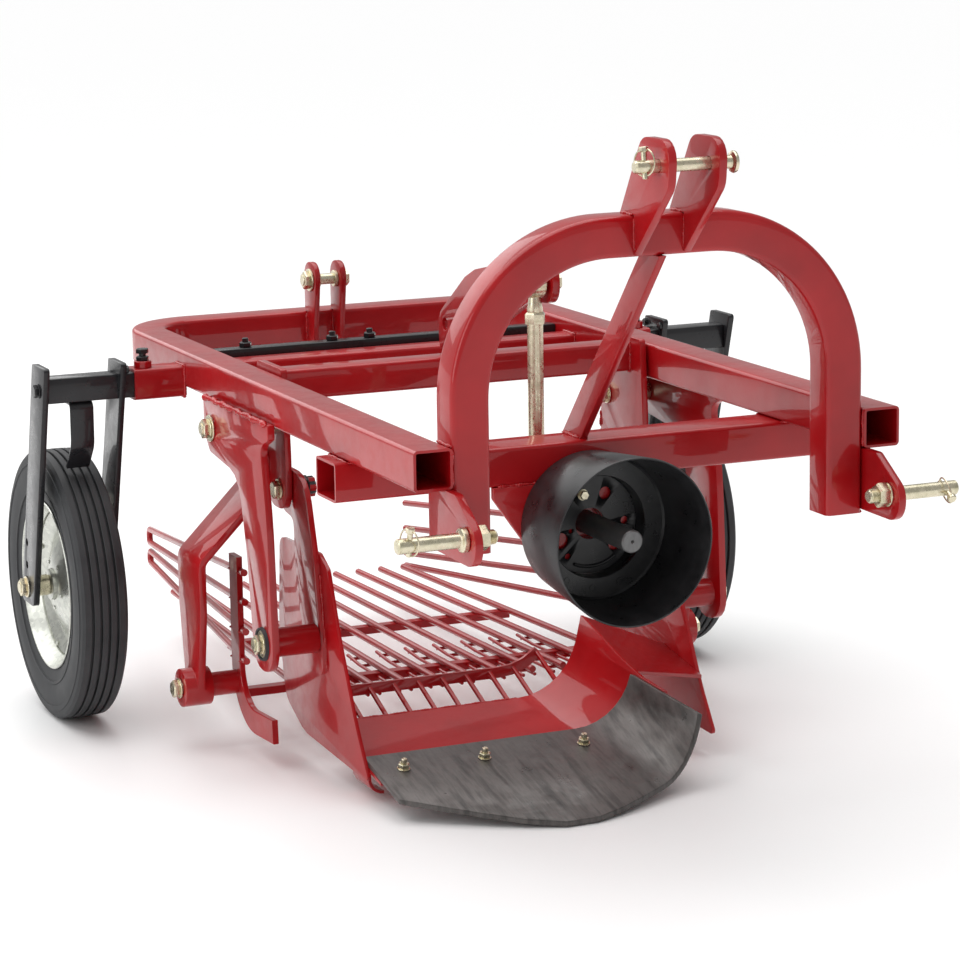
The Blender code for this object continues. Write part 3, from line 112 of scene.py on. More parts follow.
class NodeSheet:
    """Short ways to lay nodes into one material."""

    def __init__(self, made: bpy.types.Material) -> None:
        """Keeps the material's tree and its principled shader.

        Args:
            made: A material with nodes switched on.
        """
        self.tree = made.node_tree
        self.shader = self.tree.nodes["Principled BSDF"]
        place = self.tree.nodes.new("ShaderNodeTexCoord")
        self.place = place.outputs["Object"]

    def put(self, socket: str, value: object) -> None:
        """Sets one value on the shader's own socket.

        Args:
            socket: The socket's name.
            value: A number or a colour.
        """
        self.shader.inputs[socket].default_value = value

    def join(self, source: bpy.types.NodeSocket, target: bpy.types.NodeSocket) -> None:
        """Links two sockets.

        Args:
            source: Where the value comes from.
            target: Where it goes.
        """
        self.tree.links.new(source, target)

    def stretch(self, scale: tuple[float, float, float]) -> bpy.types.NodeSocket:
        """Object place, scaled separately along each axis.

        Args:
            scale: How much finer the pattern is along X, Y and Z.

        Returns:
            The scaled place.
        """
        node = self.tree.nodes.new("ShaderNodeMapping")
        node.inputs["Scale"].default_value = scale
        self.join(self.place, node.inputs["Vector"])
        return node.outputs["Vector"]

    def noise(
        self,
        scale: float,
        detail: float = 3.0,
        rough: float = 0.5,
        place: Optional[bpy.types.NodeSocket] = None,
    ) -> bpy.types.NodeSocket:
        """Cloudy pattern over the object's own place.

        Args:
            scale: Clouds to a metre.
            detail: Octaves.
            rough: How strong the fine octaves are.
            place: Another place to read, such as a stretched one.

        Returns:
            The pattern from 0 to 1.
        """
        node = self.tree.nodes.new("ShaderNodeTexNoise")
        node.inputs["Scale"].default_value = scale
        node.inputs["Detail"].default_value = detail
        node.inputs["Roughness"].default_value = rough
        self.join(place or self.place, node.inputs["Vector"])
        return node.outputs["Fac"]

    def cells(self, scale: float) -> bpy.types.NodeSocket:
        """Crystal pattern, one shade to a cell.

        Args:
            scale: Cells to a metre.

        Returns:
            The cells' colour.
        """
        node = self.tree.nodes.new("ShaderNodeTexVoronoi")
        node.inputs["Scale"].default_value = scale
        self.join(self.place, node.inputs["Vector"])
        return node.outputs["Color"]

    def colour(
        self, source: bpy.types.NodeSocket, stops: Sequence[tuple[float, Sequence[float]]]
    ) -> None:
        """Colours the surface by a pattern.

        Args:
            source: A value from 0 to 1.
            stops: Places along the ramp with their colours.
        """
        node = self.tree.nodes.new("ShaderNodeValToRGB")
        bar = node.color_ramp
        for _ in range(len(stops) - 2):
            bar.elements.new(0.5)
        for element, (at, colour) in zip(bar.elements, stops):
            element.position = at
            element.color = (*colour, 1.0)
        self.join(source, node.inputs["Fac"])
        self.join(node.outputs["Color"], self.shader.inputs["Base Color"])

    def sheen(
        self, source: bpy.types.NodeSocket, old: tuple[float, float], new: tuple[float, float]
    ) -> None:
        """Spreads the roughness by a pattern, clamped.

        Args:
            source: The pattern.
            old: The range that it is read over.
            new: The roughness that it becomes.
        """
        node = self.tree.nodes.new("ShaderNodeMapRange")
        node.inputs["From Min"].default_value = old[0]
        node.inputs["From Max"].default_value = old[1]
        node.inputs["To Min"].default_value = new[0]
        node.inputs["To Max"].default_value = new[1]
        self.join(source, node.inputs["Value"])
        self.join(node.outputs["Result"], self.shader.inputs["Roughness"])

    def bump(self, layers: Sequence[tuple[bpy.types.NodeSocket, float, float]]) -> None:
        """Stacks bumps into the shader's normal.

        Args:
            layers: Height, strength and depth in metres of each bump.
        """
        last = None
        for height, strength, depth in layers:
            node = self.tree.nodes.new("ShaderNodeBump")
            node.inputs["Strength"].default_value = strength
            node.inputs["Distance"].default_value = depth
            self.join(height, node.inputs["Height"])
            if last is not None:
                self.join(last, node.inputs["Normal"])
            last = node.outputs["Normal"]
        self.join(last, self.shader.inputs["Normal"])


@dataclass(frozen=True)
class GlossPaint(Finish):
    """Sprayed gloss paint with orange peel, a soft flow and a little dust."""

    colour: tuple[float, float, float] = (0.41, 0.004, 0.007)
    shade: tuple[float, float, float] = (0.31, 0.003, 0.005)
    roughness: tuple[float, float] = (0.30, 0.44)
    coat: float = 0.60
    peel: float = 0.12

    def paint(self, sheet: NodeSheet) -> None:
        """Lays the colour flow, the sheen's spread and the orange peel.

        Args:
            sheet: The material's nodes.
        """
        flow = sheet.noise(7.0, 4.0, 0.55)
        sheet.colour(flow, [(0.30, self.shade), (0.62, self.colour)])
        dust = sheet.noise(38.0, 6.0, 0.62)
        sheet.sheen(dust, (0.38, 0.72), self.roughness)
        sheet.put("Coat Weight", self.coat)
        sheet.put("Coat Roughness", 0.03)
        sheet.put("Specular IOR Level", 0.22)
        sheet.bump([
            (sheet.noise(420.0, 2.0), self.peel, 0.0006),
            (sheet.noise(60.0, 3.0), self.peel * 0.8, 0.0012),
        ])


@dataclass(frozen=True)
class ZincPlate(Finish):
    """Yellow passivated zinc, with cloudy bands from pale yellow to brown and fine drawing marks."""

    def paint(self, sheet: NodeSheet) -> None:
        """Lays the passivation colours and the turned surface.

        Args:
            sheet: The material's nodes.
        """
        tint = sheet.noise(55.0, 4.0, 0.6)
        sheet.colour(tint, [
            (0.28, (0.50, 0.47, 0.32)),
            (0.45, (0.64, 0.59, 0.43)),
            (0.58, (0.72, 0.66, 0.50)),
            (0.75, (0.60, 0.50, 0.36)),
        ])
        sheet.put("Metallic", 0.95)
        grime = sheet.noise(160.0, 4.0, 0.6)
        sheet.sheen(grime, (0.35, 0.7), (0.20, 0.42))
        sheet.bump([(sheet.noise(900.0, 2.0), 0.10, 0.0003)])


@dataclass(frozen=True)
class WornSteel(Finish):
    """Bare rolled steel: grey scale, drawn streaks and rubbed patches."""

    dark: tuple[float, float, float] = (0.050, 0.047, 0.045)
    light: tuple[float, float, float] = (0.125, 0.115, 0.110)
    streak: tuple[float, float, float] = (26.0, 3.0, 6.0)
    metallic: float = 0.60

    def paint(self, sheet: NodeSheet) -> None:
        """Lays the scale, the streaks and the rubbed patches.

        Args:
            sheet: The material's nodes.
        """
        streaks = sheet.noise(2.2, 6.0, 0.62, sheet.stretch(self.streak))
        sheet.colour(streaks, [(0.30, self.dark), (0.50, self.light), (0.72, self.dark)])
        sheet.put("Metallic", self.metallic)
        patch = sheet.noise(24.0, 5.0, 0.6)
        sheet.sheen(patch, (0.30, 0.72), (0.26, 0.55))
        sheet.bump([
            (sheet.noise(7.0, 4.0, 0.6, sheet.stretch((60.0, 6.0, 12.0))), 0.16, 0.0004),
            (sheet.noise(110.0, 3.0), 0.16, 0.0006),
        ])


@dataclass(frozen=True)
class Galvanised(Finish):
    """Hot-dipped zinc with crystals and a soft grey bloom."""

    def paint(self, sheet: NodeSheet) -> None:
        """Lays the crystals, the bloom and the pressed surface.

        Args:
            sheet: The material's nodes.
        """
        crystals = sheet.cells(150.0)
        split = sheet.tree.nodes.new("ShaderNodeSeparateColor")
        sheet.join(crystals, split.inputs["Color"])
        sheet.colour(split.outputs["Red"], [(0.0, (0.50, 0.51, 0.47)), (1.0, (0.66, 0.67, 0.61))])
        sheet.put("Metallic", 0.85)
        bloom = sheet.noise(18.0, 4.0, 0.6)
        sheet.sheen(bloom, (0.35, 0.7), (0.24, 0.44))
        sheet.bump([(sheet.noise(220.0, 3.0), 0.10, 0.0004)])


@dataclass(frozen=True)
class TyreRubber(Finish):
    """Dark moulded rubber with a faint bloom and grain."""

    def paint(self, sheet: NodeSheet) -> None:
        """Lays the bloom and the grain.

        Args:
            sheet: The material's nodes.
        """
        bloom = sheet.noise(14.0, 5.0, 0.6)
        sheet.colour(bloom, [(0.30, (0.020, 0.021, 0.023)), (0.70, (0.046, 0.047, 0.050))])
        sheet.sheen(bloom, (0.3, 0.7), (0.50, 0.72))
        sheet.put("Specular IOR Level", 0.42)
        sheet.bump([(sheet.noise(700.0, 3.0), 0.25, 0.0003), (sheet.noise(90.0, 3.0), 0.15, 0.0006)])


@dataclass(frozen=True)
class MouldedPlastic(Finish):
    """Black moulded plastic with a satin skin, faint scuffs and a fine grain."""

    def paint(self, sheet: NodeSheet) -> None:
        """Lays the scuffs and the grain.

        Args:
            sheet: The material's nodes.
        """
        scuff = sheet.noise(30.0, 6.0, 0.65)
        sheet.colour(scuff, [(0.35, (0.010, 0.010, 0.011)), (0.75, (0.026, 0.026, 0.028))])
        sheet.sheen(scuff, (0.35, 0.7), (0.26, 0.42))
        sheet.bump([(sheet.noise(380.0, 2.0), 0.10, 0.0004)])


RED = GlossPaint("gloss_red_paint", "red_paint")
BLACK = GlossPaint(
    "satin_black_paint",
    "black_paint",
    colour=(0.018, 0.018, 0.020),
    shade=(0.010, 0.010, 0.012),
    roughness=(0.26, 0.42),
    coat=0.35,
)
WELD = GlossPaint(
    "red_paint_over_weld", "red_paint", colour=(0.45, 0.005, 0.008), roughness=(0.20, 0.32), peel=0.20
)
ZINC = ZincPlate("yellow_passivated_zinc", "yellow_zinc")
BLADE_STEEL = WornSteel("scratched_blade_steel", "bare_steel")
SHAFT_STEEL = WornSteel(
    "dull_shaft_steel", "bare_steel", dark=(0.12, 0.12, 0.122), light=(0.17, 0.17, 0.17), metallic=0.5
)
GALVANISED = Galvanised("galvanised_rim", "galvanised_steel")
RUBBER = TyreRubber("moulded_tyre_rubber", "tyre_rubber")
PLASTIC = MouldedPlastic("black_guard_plastic", "black_plastic")


# ------------------------------------------------------------------ mesh tools
def placed(name: str, data: bpy.types.ID) -> bpy.types.Object:
    """Makes an object from its data and puts it in the scene."""
    obj = bpy.data.objects.new(name, data)
    bpy.context.scene.collection.objects.link(obj)
    return obj


def finished(
    obj: bpy.types.Object, finish: Finish, body: str, stands_for: Sequence[str] = ()
) -> bpy.types.Object:
    """Gives a piece its finish and hangs it on its body.

    Args:
        obj: The piece, in place.
        finish: What it is covered with.
        body: The frame body that it moves with.
        stands_for: Nodes of the frame that it is shown instead of.

    Returns:
        The same piece.
    """
    obj.data.materials.clear()
    obj.data.materials.append(finish.build())
    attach(obj, body)
    if stands_for:
        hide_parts(*stands_for)
    log.info("%s rides on %s", obj.name, body)
    return obj


def from_shape(shape: bmesh.types.BMesh, name: str, sharp_deg: float = 32.0) -> bpy.types.Object:
    """Turns a bmesh into a smooth-shaded object.

    Args:
        shape: The mesh, which is freed.
        name: The piece's name.
        sharp_deg: Edges that bend more than this stay sharp.

    Returns:
        The new object.
    """
    bmesh.ops.recalc_face_normals(shape, faces=shape.faces)
    mesh = bpy.data.meshes.new(name)
    shape.to_mesh(mesh)
    shape.free()
    mesh.shade_smooth()
    mesh.set_sharp_from_angle(angle=math.radians(sharp_deg))
    return placed(name, mesh)


def bridge(
    shape: bmesh.types.BMesh,
    low: Sequence[bmesh.types.BMVert],
    high: Sequence[bmesh.types.BMVert],
) -> None:
    """Faces between two rings of vertices.

    Args:
        shape: Where the faces go.
        low: One ring.
        high: The other, with the same number of vertices.
    """
    count = len(low)
    for k in range(count):
        after = (k + 1) % count
        shape.faces.new((low[k], low[after], high[after], high[k]))


def skin(
    shape: bmesh.types.BMesh, rings: Sequence[Ring], capped: bool = True, closed: bool = False
) -> None:
    """Joins rings of points into a tube.

    Args:
        shape: Where the faces go.
        rings: Rings with the same number of points.
        capped: Whether the two ends are closed.
        closed: Whether the last ring joins the first.
    """
    made = [[shape.verts.new(point) for point in ring] for ring in rings]
    pairs = list(zip(made, made[1:]))
    if closed:
        pairs.append((made[-1], made[0]))
    for low, high in pairs:
        bridge(shape, low, high)
    if capped and not closed:
        shape.faces.new(made[0][::-1])
        shape.faces.new(made[-1])


def circle(
    centre: Vector, first: Vector, quarter: Vector, radius: float, facets: int
) -> Ring:
    """Ring of points round a centre.

    Args:
        centre: Its middle.
        first: Direction of the first point.
        quarter: Direction of the point a quarter turn on.
        radius: Its radius.
        facets: Points in the round.

    Returns:
        The points.
    """
    ring = []
    for k in range(facets):
        angle = 2 * math.pi * k / facets
        out = first * math.cos(angle) + quarter * math.sin(angle)
        ring.append(centre + out * radius)
    return ring


def lathe(
    shape: bmesh.types.BMesh,
    profile: Outline,
    centre: Vector,
    axis: Axis = Axis.X,
    facets: int = 48,
    closed: bool = False,
) -> None:
    """Turns an (along, radius) profile about an axis.

    Args:
        shape: Where the faces go.
        profile: The points, from one end to the other.
        centre: The axis's zero point.
        axis: Which way the axis lies.
        facets: Facets in the round.
        closed: True for a ring, whose profile closes on itself.
    """
    along = axis.value
    across = Axis.Z.value if axis is not Axis.Z else Axis.X.value
    third = along.cross(across)
    rings = [
        circle(centre + along * distance, across, third, radius, facets)
        for distance, radius in profile
    ]
    skin(shape, rings, capped=not closed, closed=closed)


def carried(normal: Optional[Vector], tangent: Vector) -> Vector:
    """Direction across a path, carried from point to point so that it doesn't twist.

    Args:
        normal: The direction at the point before, or None at the first point.
        tangent: The path's own direction here.

    Returns:
        The direction here.
    """
    if normal is None:
        rough = Axis.Z.value if abs(tangent.z) < 0.9 else Axis.X.value
        normal = tangent.cross(rough).normalized()
    return (normal - tangent * normal.dot(tangent)).normalized()


def tube_path(
    shape: bmesh.types.BMesh, path: Sequence[Vector], radius: float, facets: int = 10, closed: bool = False
) -> None:
    """Round bar along a path, with a frame that doesn't twist.

    Args:
        shape: Where the faces go.
        path: Points along the middle.
        radius: The bar's radius.
        facets: Facets round the bar.
        closed: Whether the path closes on itself.
    """
    rings: list[Ring] = []
    normal: Optional[Vector] = None
    count = len(path)
    for i, point in enumerate(path):
        before = path[(i - 1) % count] if closed or i else point
        after = path[(i + 1) % count] if closed or i < count - 1 else point
        tangent = (after - before).normalized()
        normal = carried(normal, tangent)
        rings.append(circle(point, normal, tangent.cross(normal), radius, facets))
    skin(shape, rings, capped=True, closed=closed)


def stack(
    shape: bmesh.types.BMesh, centre: Vector, axis: Vector, levels: Outline, facets: int
) -> None:
    """Rings stacked along any direction, closed at both ends.

    Args:
        shape: Where the faces go.
        centre: Middle of the seat.
        axis: Outward direction.
        levels: The (height, radius) of each ring.
        facets: Facets in the round.
    """
    turn = Axis.Z.value.rotation_difference(axis)
    rings = []
    for level, radius in levels:
        flat = circle(Vector((0, 0, level)), Axis.X.value, Axis.Y.value, radius, facets)
        rings.append([centre + turn @ point for point in flat])
    skin(shape, rings)


def hexagon(
    shape: bmesh.types.BMesh, centre: Vector, axis: Vector, across_flats: float, height: float
) -> None:
    """Chamfered hexagon for a bolt head or a nut.

    Args:
        shape: Where the faces go.
        centre: Middle of the seat.
        axis: Outward direction.
        across_flats: Size over the flats.
        height: Height above the seat.
    """
    corner = across_flats / math.sqrt(3.0)
    levels = [
        (level * height, shrink * corner)
        for level, shrink in ((0.0, 0.97), (0.08, 1.0), (0.84, 1.0), (1.0, 0.86))
    ]
    stack(shape, centre, axis, levels, 6)


def disc(
    shape: bmesh.types.BMesh,
    centre: Vector,
    axis: Vector,
    radius: float,
    height: float,
    facets: int = 32,
    edge: float = 0.0008,
) -> None:
    """Round disc or bar with chamfered ends.

    Args:
        shape: Where the faces go.
        centre: Middle of the seat.
        axis: Outward direction.
        radius: Its radius.
        height: Its height above the seat.
        facets: Facets in the round.
        edge: Chamfer at both ends.
    """
    levels = ((0.0, radius - edge), (edge, radius), (height - edge, radius), (height, radius - edge))
    stack(shape, centre, axis, levels, facets)


def arc_corners(corners: Sequence[tuple[Vector, float]], step_deg: float = 4.0) -> list[Vector]:
    """Path through corners, with an arc at each bend.

    Args:
        corners: Each corner with its bend radius.
        step_deg: Turn between two points of an arc.

    Returns:
        Points along the path.
    """
    path = [corners[0][0]]
    for before, (here, radius), after in zip(corners, corners[1:], corners[2:]):
        back = (before[0] - here).normalized()
        ahead = (after[0] - here).normalized()
        if radius <= 0:
            path.append(here)
            continue
        half = back.angle(ahead) / 2
        middle = here + (back + ahead).normalized() * radius / math.sin(half)
        first = here + back * radius / math.tan(half) - middle
        turn_axis = back.cross(ahead).normalized()
        swing = -(math.pi - 2 * half)
        steps = max(1, round(abs(math.degrees(swing)) / step_deg))
        for k in range(steps + 1):
            path.append(middle + Matrix.Rotation(swing * k / steps, 3, turn_axis) @ first)
    path.append(corners[-1][0])
    return path


@dataclass
class BoxTube:
    """Square tube with rolled corners along a bent path, open at both ends."""

    name: str
    path: Sequence[Vector]
    side_axis: Vector
    width: float
    depth: float
    wall: float = 0.004
    corner: float = 0.0065

    def section(self, inset: float) -> list[tuple[float, float]]:
        """Section of the outer or the inner skin.

        Args:
            inset: How far inside the outer skin it lies.

        Returns:
            Points as (side, across).
        """
        half_side, half_across = self.width / 2 - inset, self.depth / 2 - inset
        radius = max(0.0018, self.corner - inset)
        ring = []
        steps = 5
        for quarter in range(4):
            cx = (half_side - radius) * (1 if quarter in (0, 3) else -1)
            cy = (half_across - radius) * (1 if quarter in (0, 1) else -1)
            for k in range(steps + 1):
                angle = (quarter + k / steps) * math.pi / 2
                ring.append((cx + radius * math.cos(angle), cy + radius * math.sin(angle)))
        return ring

    def build(self) -> bpy.types.Object:
        """Makes the tube.

        Returns:
            The tube as an object.
        """
        shape = bmesh.new()
        path = list(self.path)
        loops = []
        for inset in (0.0, self.wall):
            rings = []
            for i, point in enumerate(path):
                before = (point - path[i - 1]).normalized() if i else None
                after = (path[i + 1] - point).normalized() if i < len(path) - 1 else None
                ends = [part for part in (before, after) if part is not None]
                tangent = sum(ends, Vector()).normalized()
                across = tangent.cross(self.side_axis).normalized()
                stretch = 1.0 if len(ends) == 1 else 1.0 / max(0.2, tangent.dot(ends[0]))
                rings.append([
                    shape.verts.new(point + self.side_axis * s + across * t * stretch)
                    for s, t in self.section(inset)
                ])
            loops.append(rings)
        outer, inner = loops
        for rings in loops:
            for low, high in zip(rings, rings[1:]):
                bridge(shape, low, high)
        for end in (0, -1):
            bridge(shape, outer[end], inner[end])
        return from_shape(shape, self.name)


def softened(node: str, name: str, edge: float, steps: int) -> bpy.types.Object:
    """Copy of a frame node with its machined edges broken.

    Args:
        node: The frame's node.
        name: Name of the finished piece.
        edge: Width of the broken edge.
        steps: Facets across it.

    Returns:
        The copy, in place.
    """
    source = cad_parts[node]
    shape = bmesh.new()
    shape.from_mesh(source.data)
    bmesh.ops.remove_doubles(shape, verts=shape.verts, dist=2e-5)
    bmesh.ops.dissolve_limit(
        shape, angle_limit=math.radians(0.6), verts=shape.verts, edges=shape.edges
    )
    hard = [
        item
        for item in shape.edges
        if len(item.link_faces) == 2 and item.calc_face_angle(0.0) > math.radians(38)
    ]
    bmesh.ops.bevel(
        shape, geom=hard, offset=edge, segments=steps, profile=0.5, affect="EDGES", clamp_overlap=True
    )
    return from_shape(shape, name)


def painted(
    node: str, finish: Finish, body: str = "frame", edge: float = 0.0014, steps: int = 2
) -> None:
    """Shows a frame node with its edges broken and painted over.

    Args:
        node: The frame's node.
        finish: Its paint.
        body: The frame body that it moves with.
        edge: Width of the broken edges.
        steps: Facets across them.
    """
    finished(softened(node, f"{node}_painted", edge, steps), finish, body, [node])


@dataclass
class WeldBead:
    """Rippled weld bead along a line, painted over."""

    path: Sequence[Vector]
    width: float
    pitch: float
    wobble: float
    seed: float

    def add(self, shape: bmesh.types.BMesh) -> None:
        """Lays the bead into a mesh.

        Args:
            shape: Where the faces go.
        """
        lengths = [0.0]
        for low, high in zip(self.path, self.path[1:]):
            lengths.append(lengths[-1] + (high - low).length)
        total = lengths[-1]
        count = max(4, int(total / self.pitch * 4))
        rings: list[Ring] = []
        normal: Optional[Vector] = None
        for i in range(count + 1):
            s = total * i / count
            k = max(j for j in range(len(lengths)) if lengths[j] <= s + 1e-9)
            k = min(k, len(self.path) - 2)
            share = (s - lengths[k]) / max(1e-9, lengths[k + 1] - lengths[k])
            point = self.path[k].lerp(self.path[k + 1], share)
            tangent = (self.path[k + 1] - self.path[k]).normalized()
            normal = carried(normal, tangent)
            phase = s / self.pitch
            ripple = 0.80 + 0.20 * abs(math.cos(math.pi * phase))
            slow = 0.22 * math.sin(phase * 0.83 + self.seed)
            quick = 0.12 * math.sin(phase * 2.1 + self.seed * 3)
            uneven = 1 + slow + quick
            ends = min(1.0, 0.35 + min(s, total - s) / (self.width * 1.2))
            size = self.width / 2 * ripple * uneven * ends
            drift = normal * self.wobble * math.sin(phase * 0.57 + self.seed * 2)
            rings.append(circle(point + drift, normal, tangent.cross(normal), size, 10))
        skin(shape, rings)


def weld_piece(name: str, body: str, beads: Iterable[WeldBead]) -> bpy.types.Object:
    """One piece from several beads on the same body.

    Args:
        name: The piece's name.
        body: The body that they ride on.
        beads: The beads.

    Returns:
        The welds as one object.
    """
    shape = bmesh.new()
    for bead in beads:
        bead.add(shape)
    return finished(from_shape(shape, name, 60.0), WELD, body)


FRONT_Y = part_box("frame_arm_left")[0].y


def at(x: float, y: float, z: float) -> Vector:
    """A place with its Y given from the open front ends of the frame."""
    return Vector((x, y + FRONT_Y, z))


def plate(name: str, outline: Outline, low: float, high: float, edge: float) -> bpy.types.Object:
    """Flat upright plate along the machine, with broken edges.

    Args:
        name: The piece's name.
        outline: Its (y, z) corners.
        low: The x where its thickness starts.
        high: The x where its thickness ends.
        edge: Width of the broken edges.

    Returns:
        The plate.
    """
    shape = bmesh.new()
    face = shape.faces.new([shape.verts.new(at(low, y, z)) for y, z in outline])
    grown = bmesh.ops.extrude_face_region(shape, geom=[face])
    verts = [item for item in grown["geom"] if isinstance(item, bmesh.types.BMVert)]
    bmesh.ops.translate(shape, vec=Axis.X.value * (high - low), verts=verts)
    rims = [item for item in shape.edges if item.calc_face_angle(0.0) > math.radians(25)]
    bmesh.ops.bevel(
        shape, geom=rims, offset=edge, segments=2, profile=0.5, affect="EDGES", clamp_overlap=True
    )
    return from_shape(shape, name)


def about_y(centre: Vector, turn_deg: float, radius: float, along: float) -> Vector:
    """A place round an axis that lies along Y.

    Args:
        centre: The axis's zero point.
        turn_deg: Angle from +X towards +Z.
        radius: Distance from the axis.
        along: Distance along the axis.

    Returns:
        The place.
    """
    angle = math.radians(turn_deg)
    return centre + Vector((math.cos(angle) * radius, along, math.sin(angle) * radius))


def rounded_outline(
    corners: Sequence[tuple[float, float, float]], step_deg: float = 10.0
) -> list[tuple[float, float]]:
    """Closed outline whose corners are rounded.

    Args:
        corners: Each corner with its radius.
        step_deg: Turn between two points of an arc.

    Returns:
        The outline's points.
    """
    outline: list[tuple[float, float]] = []
    count = len(corners)
    for i, (a, b, radius) in enumerate(corners):
        here = Vector((a, b))
        if radius <= 0:
            outline.append((a, b))
            continue
        back = (Vector(corners[i - 1][:2]) - here).normalized()
        ahead = (Vector(corners[(i + 1) % count][:2]) - here).normalized()
        half = back.angle(ahead) / 2
        middle = here + (back + ahead).normalized() * radius / math.sin(half)
        first = here + back * radius / math.tan(half) - middle
        last = here + ahead * radius / math.tan(half) - middle
        swing = math.atan2(first.x * last.y - first.y * last.x, first.dot(last))
        steps = max(1, round(abs(math.degrees(swing)) / step_deg))
        for k in range(steps + 1):
            turned = Matrix.Rotation(swing * k / steps, 2) @ first
            outline.append((middle.x + turned.x, middle.y + turned.y))
    return outline


@dataclass
class LinchPin:
    """Flat-headed peg with a sprung ring, pushed through the end of a hitch pin."""

    name: str
    place: Vector
    lean_deg: float
    ring_turn_deg: float
    peg_radius: float
    reach: float
    ring_radius: float
    wire: float = 0.0012

    def build(self) -> bpy.types.Object:
        """Makes the peg, its head and its ring, and hangs them on the frame.

        Returns:
            The linch pin.
        """
        shape = bmesh.new()
        lean = Matrix.Rotation(math.radians(self.lean_deg), 3, "X")
        up = lean @ Vector((0, 0, 1))
        disc(shape, self.place - up * self.reach, up, self.peg_radius, self.reach * 2 + 0.004, 20)
        head = self.place + up * (self.reach + 0.003)
        disc(shape, head, up, self.peg_radius * 1.75, 0.0075, 8, 0.001)
        turn = Matrix.Rotation(math.radians(self.ring_turn_deg), 3, "Z")
        across = turn @ (lean @ Vector((0, 1, 0)))
        middle = head + up * 0.004 - up * self.ring_radius * 1.05
        ring = circle(middle, up * 1.10, across, self.ring_radius, 40)
        tube_path(shape, ring, self.wire, 8, closed=True)
        return finished(from_shape(shape, self.name), ZINC, "frame")


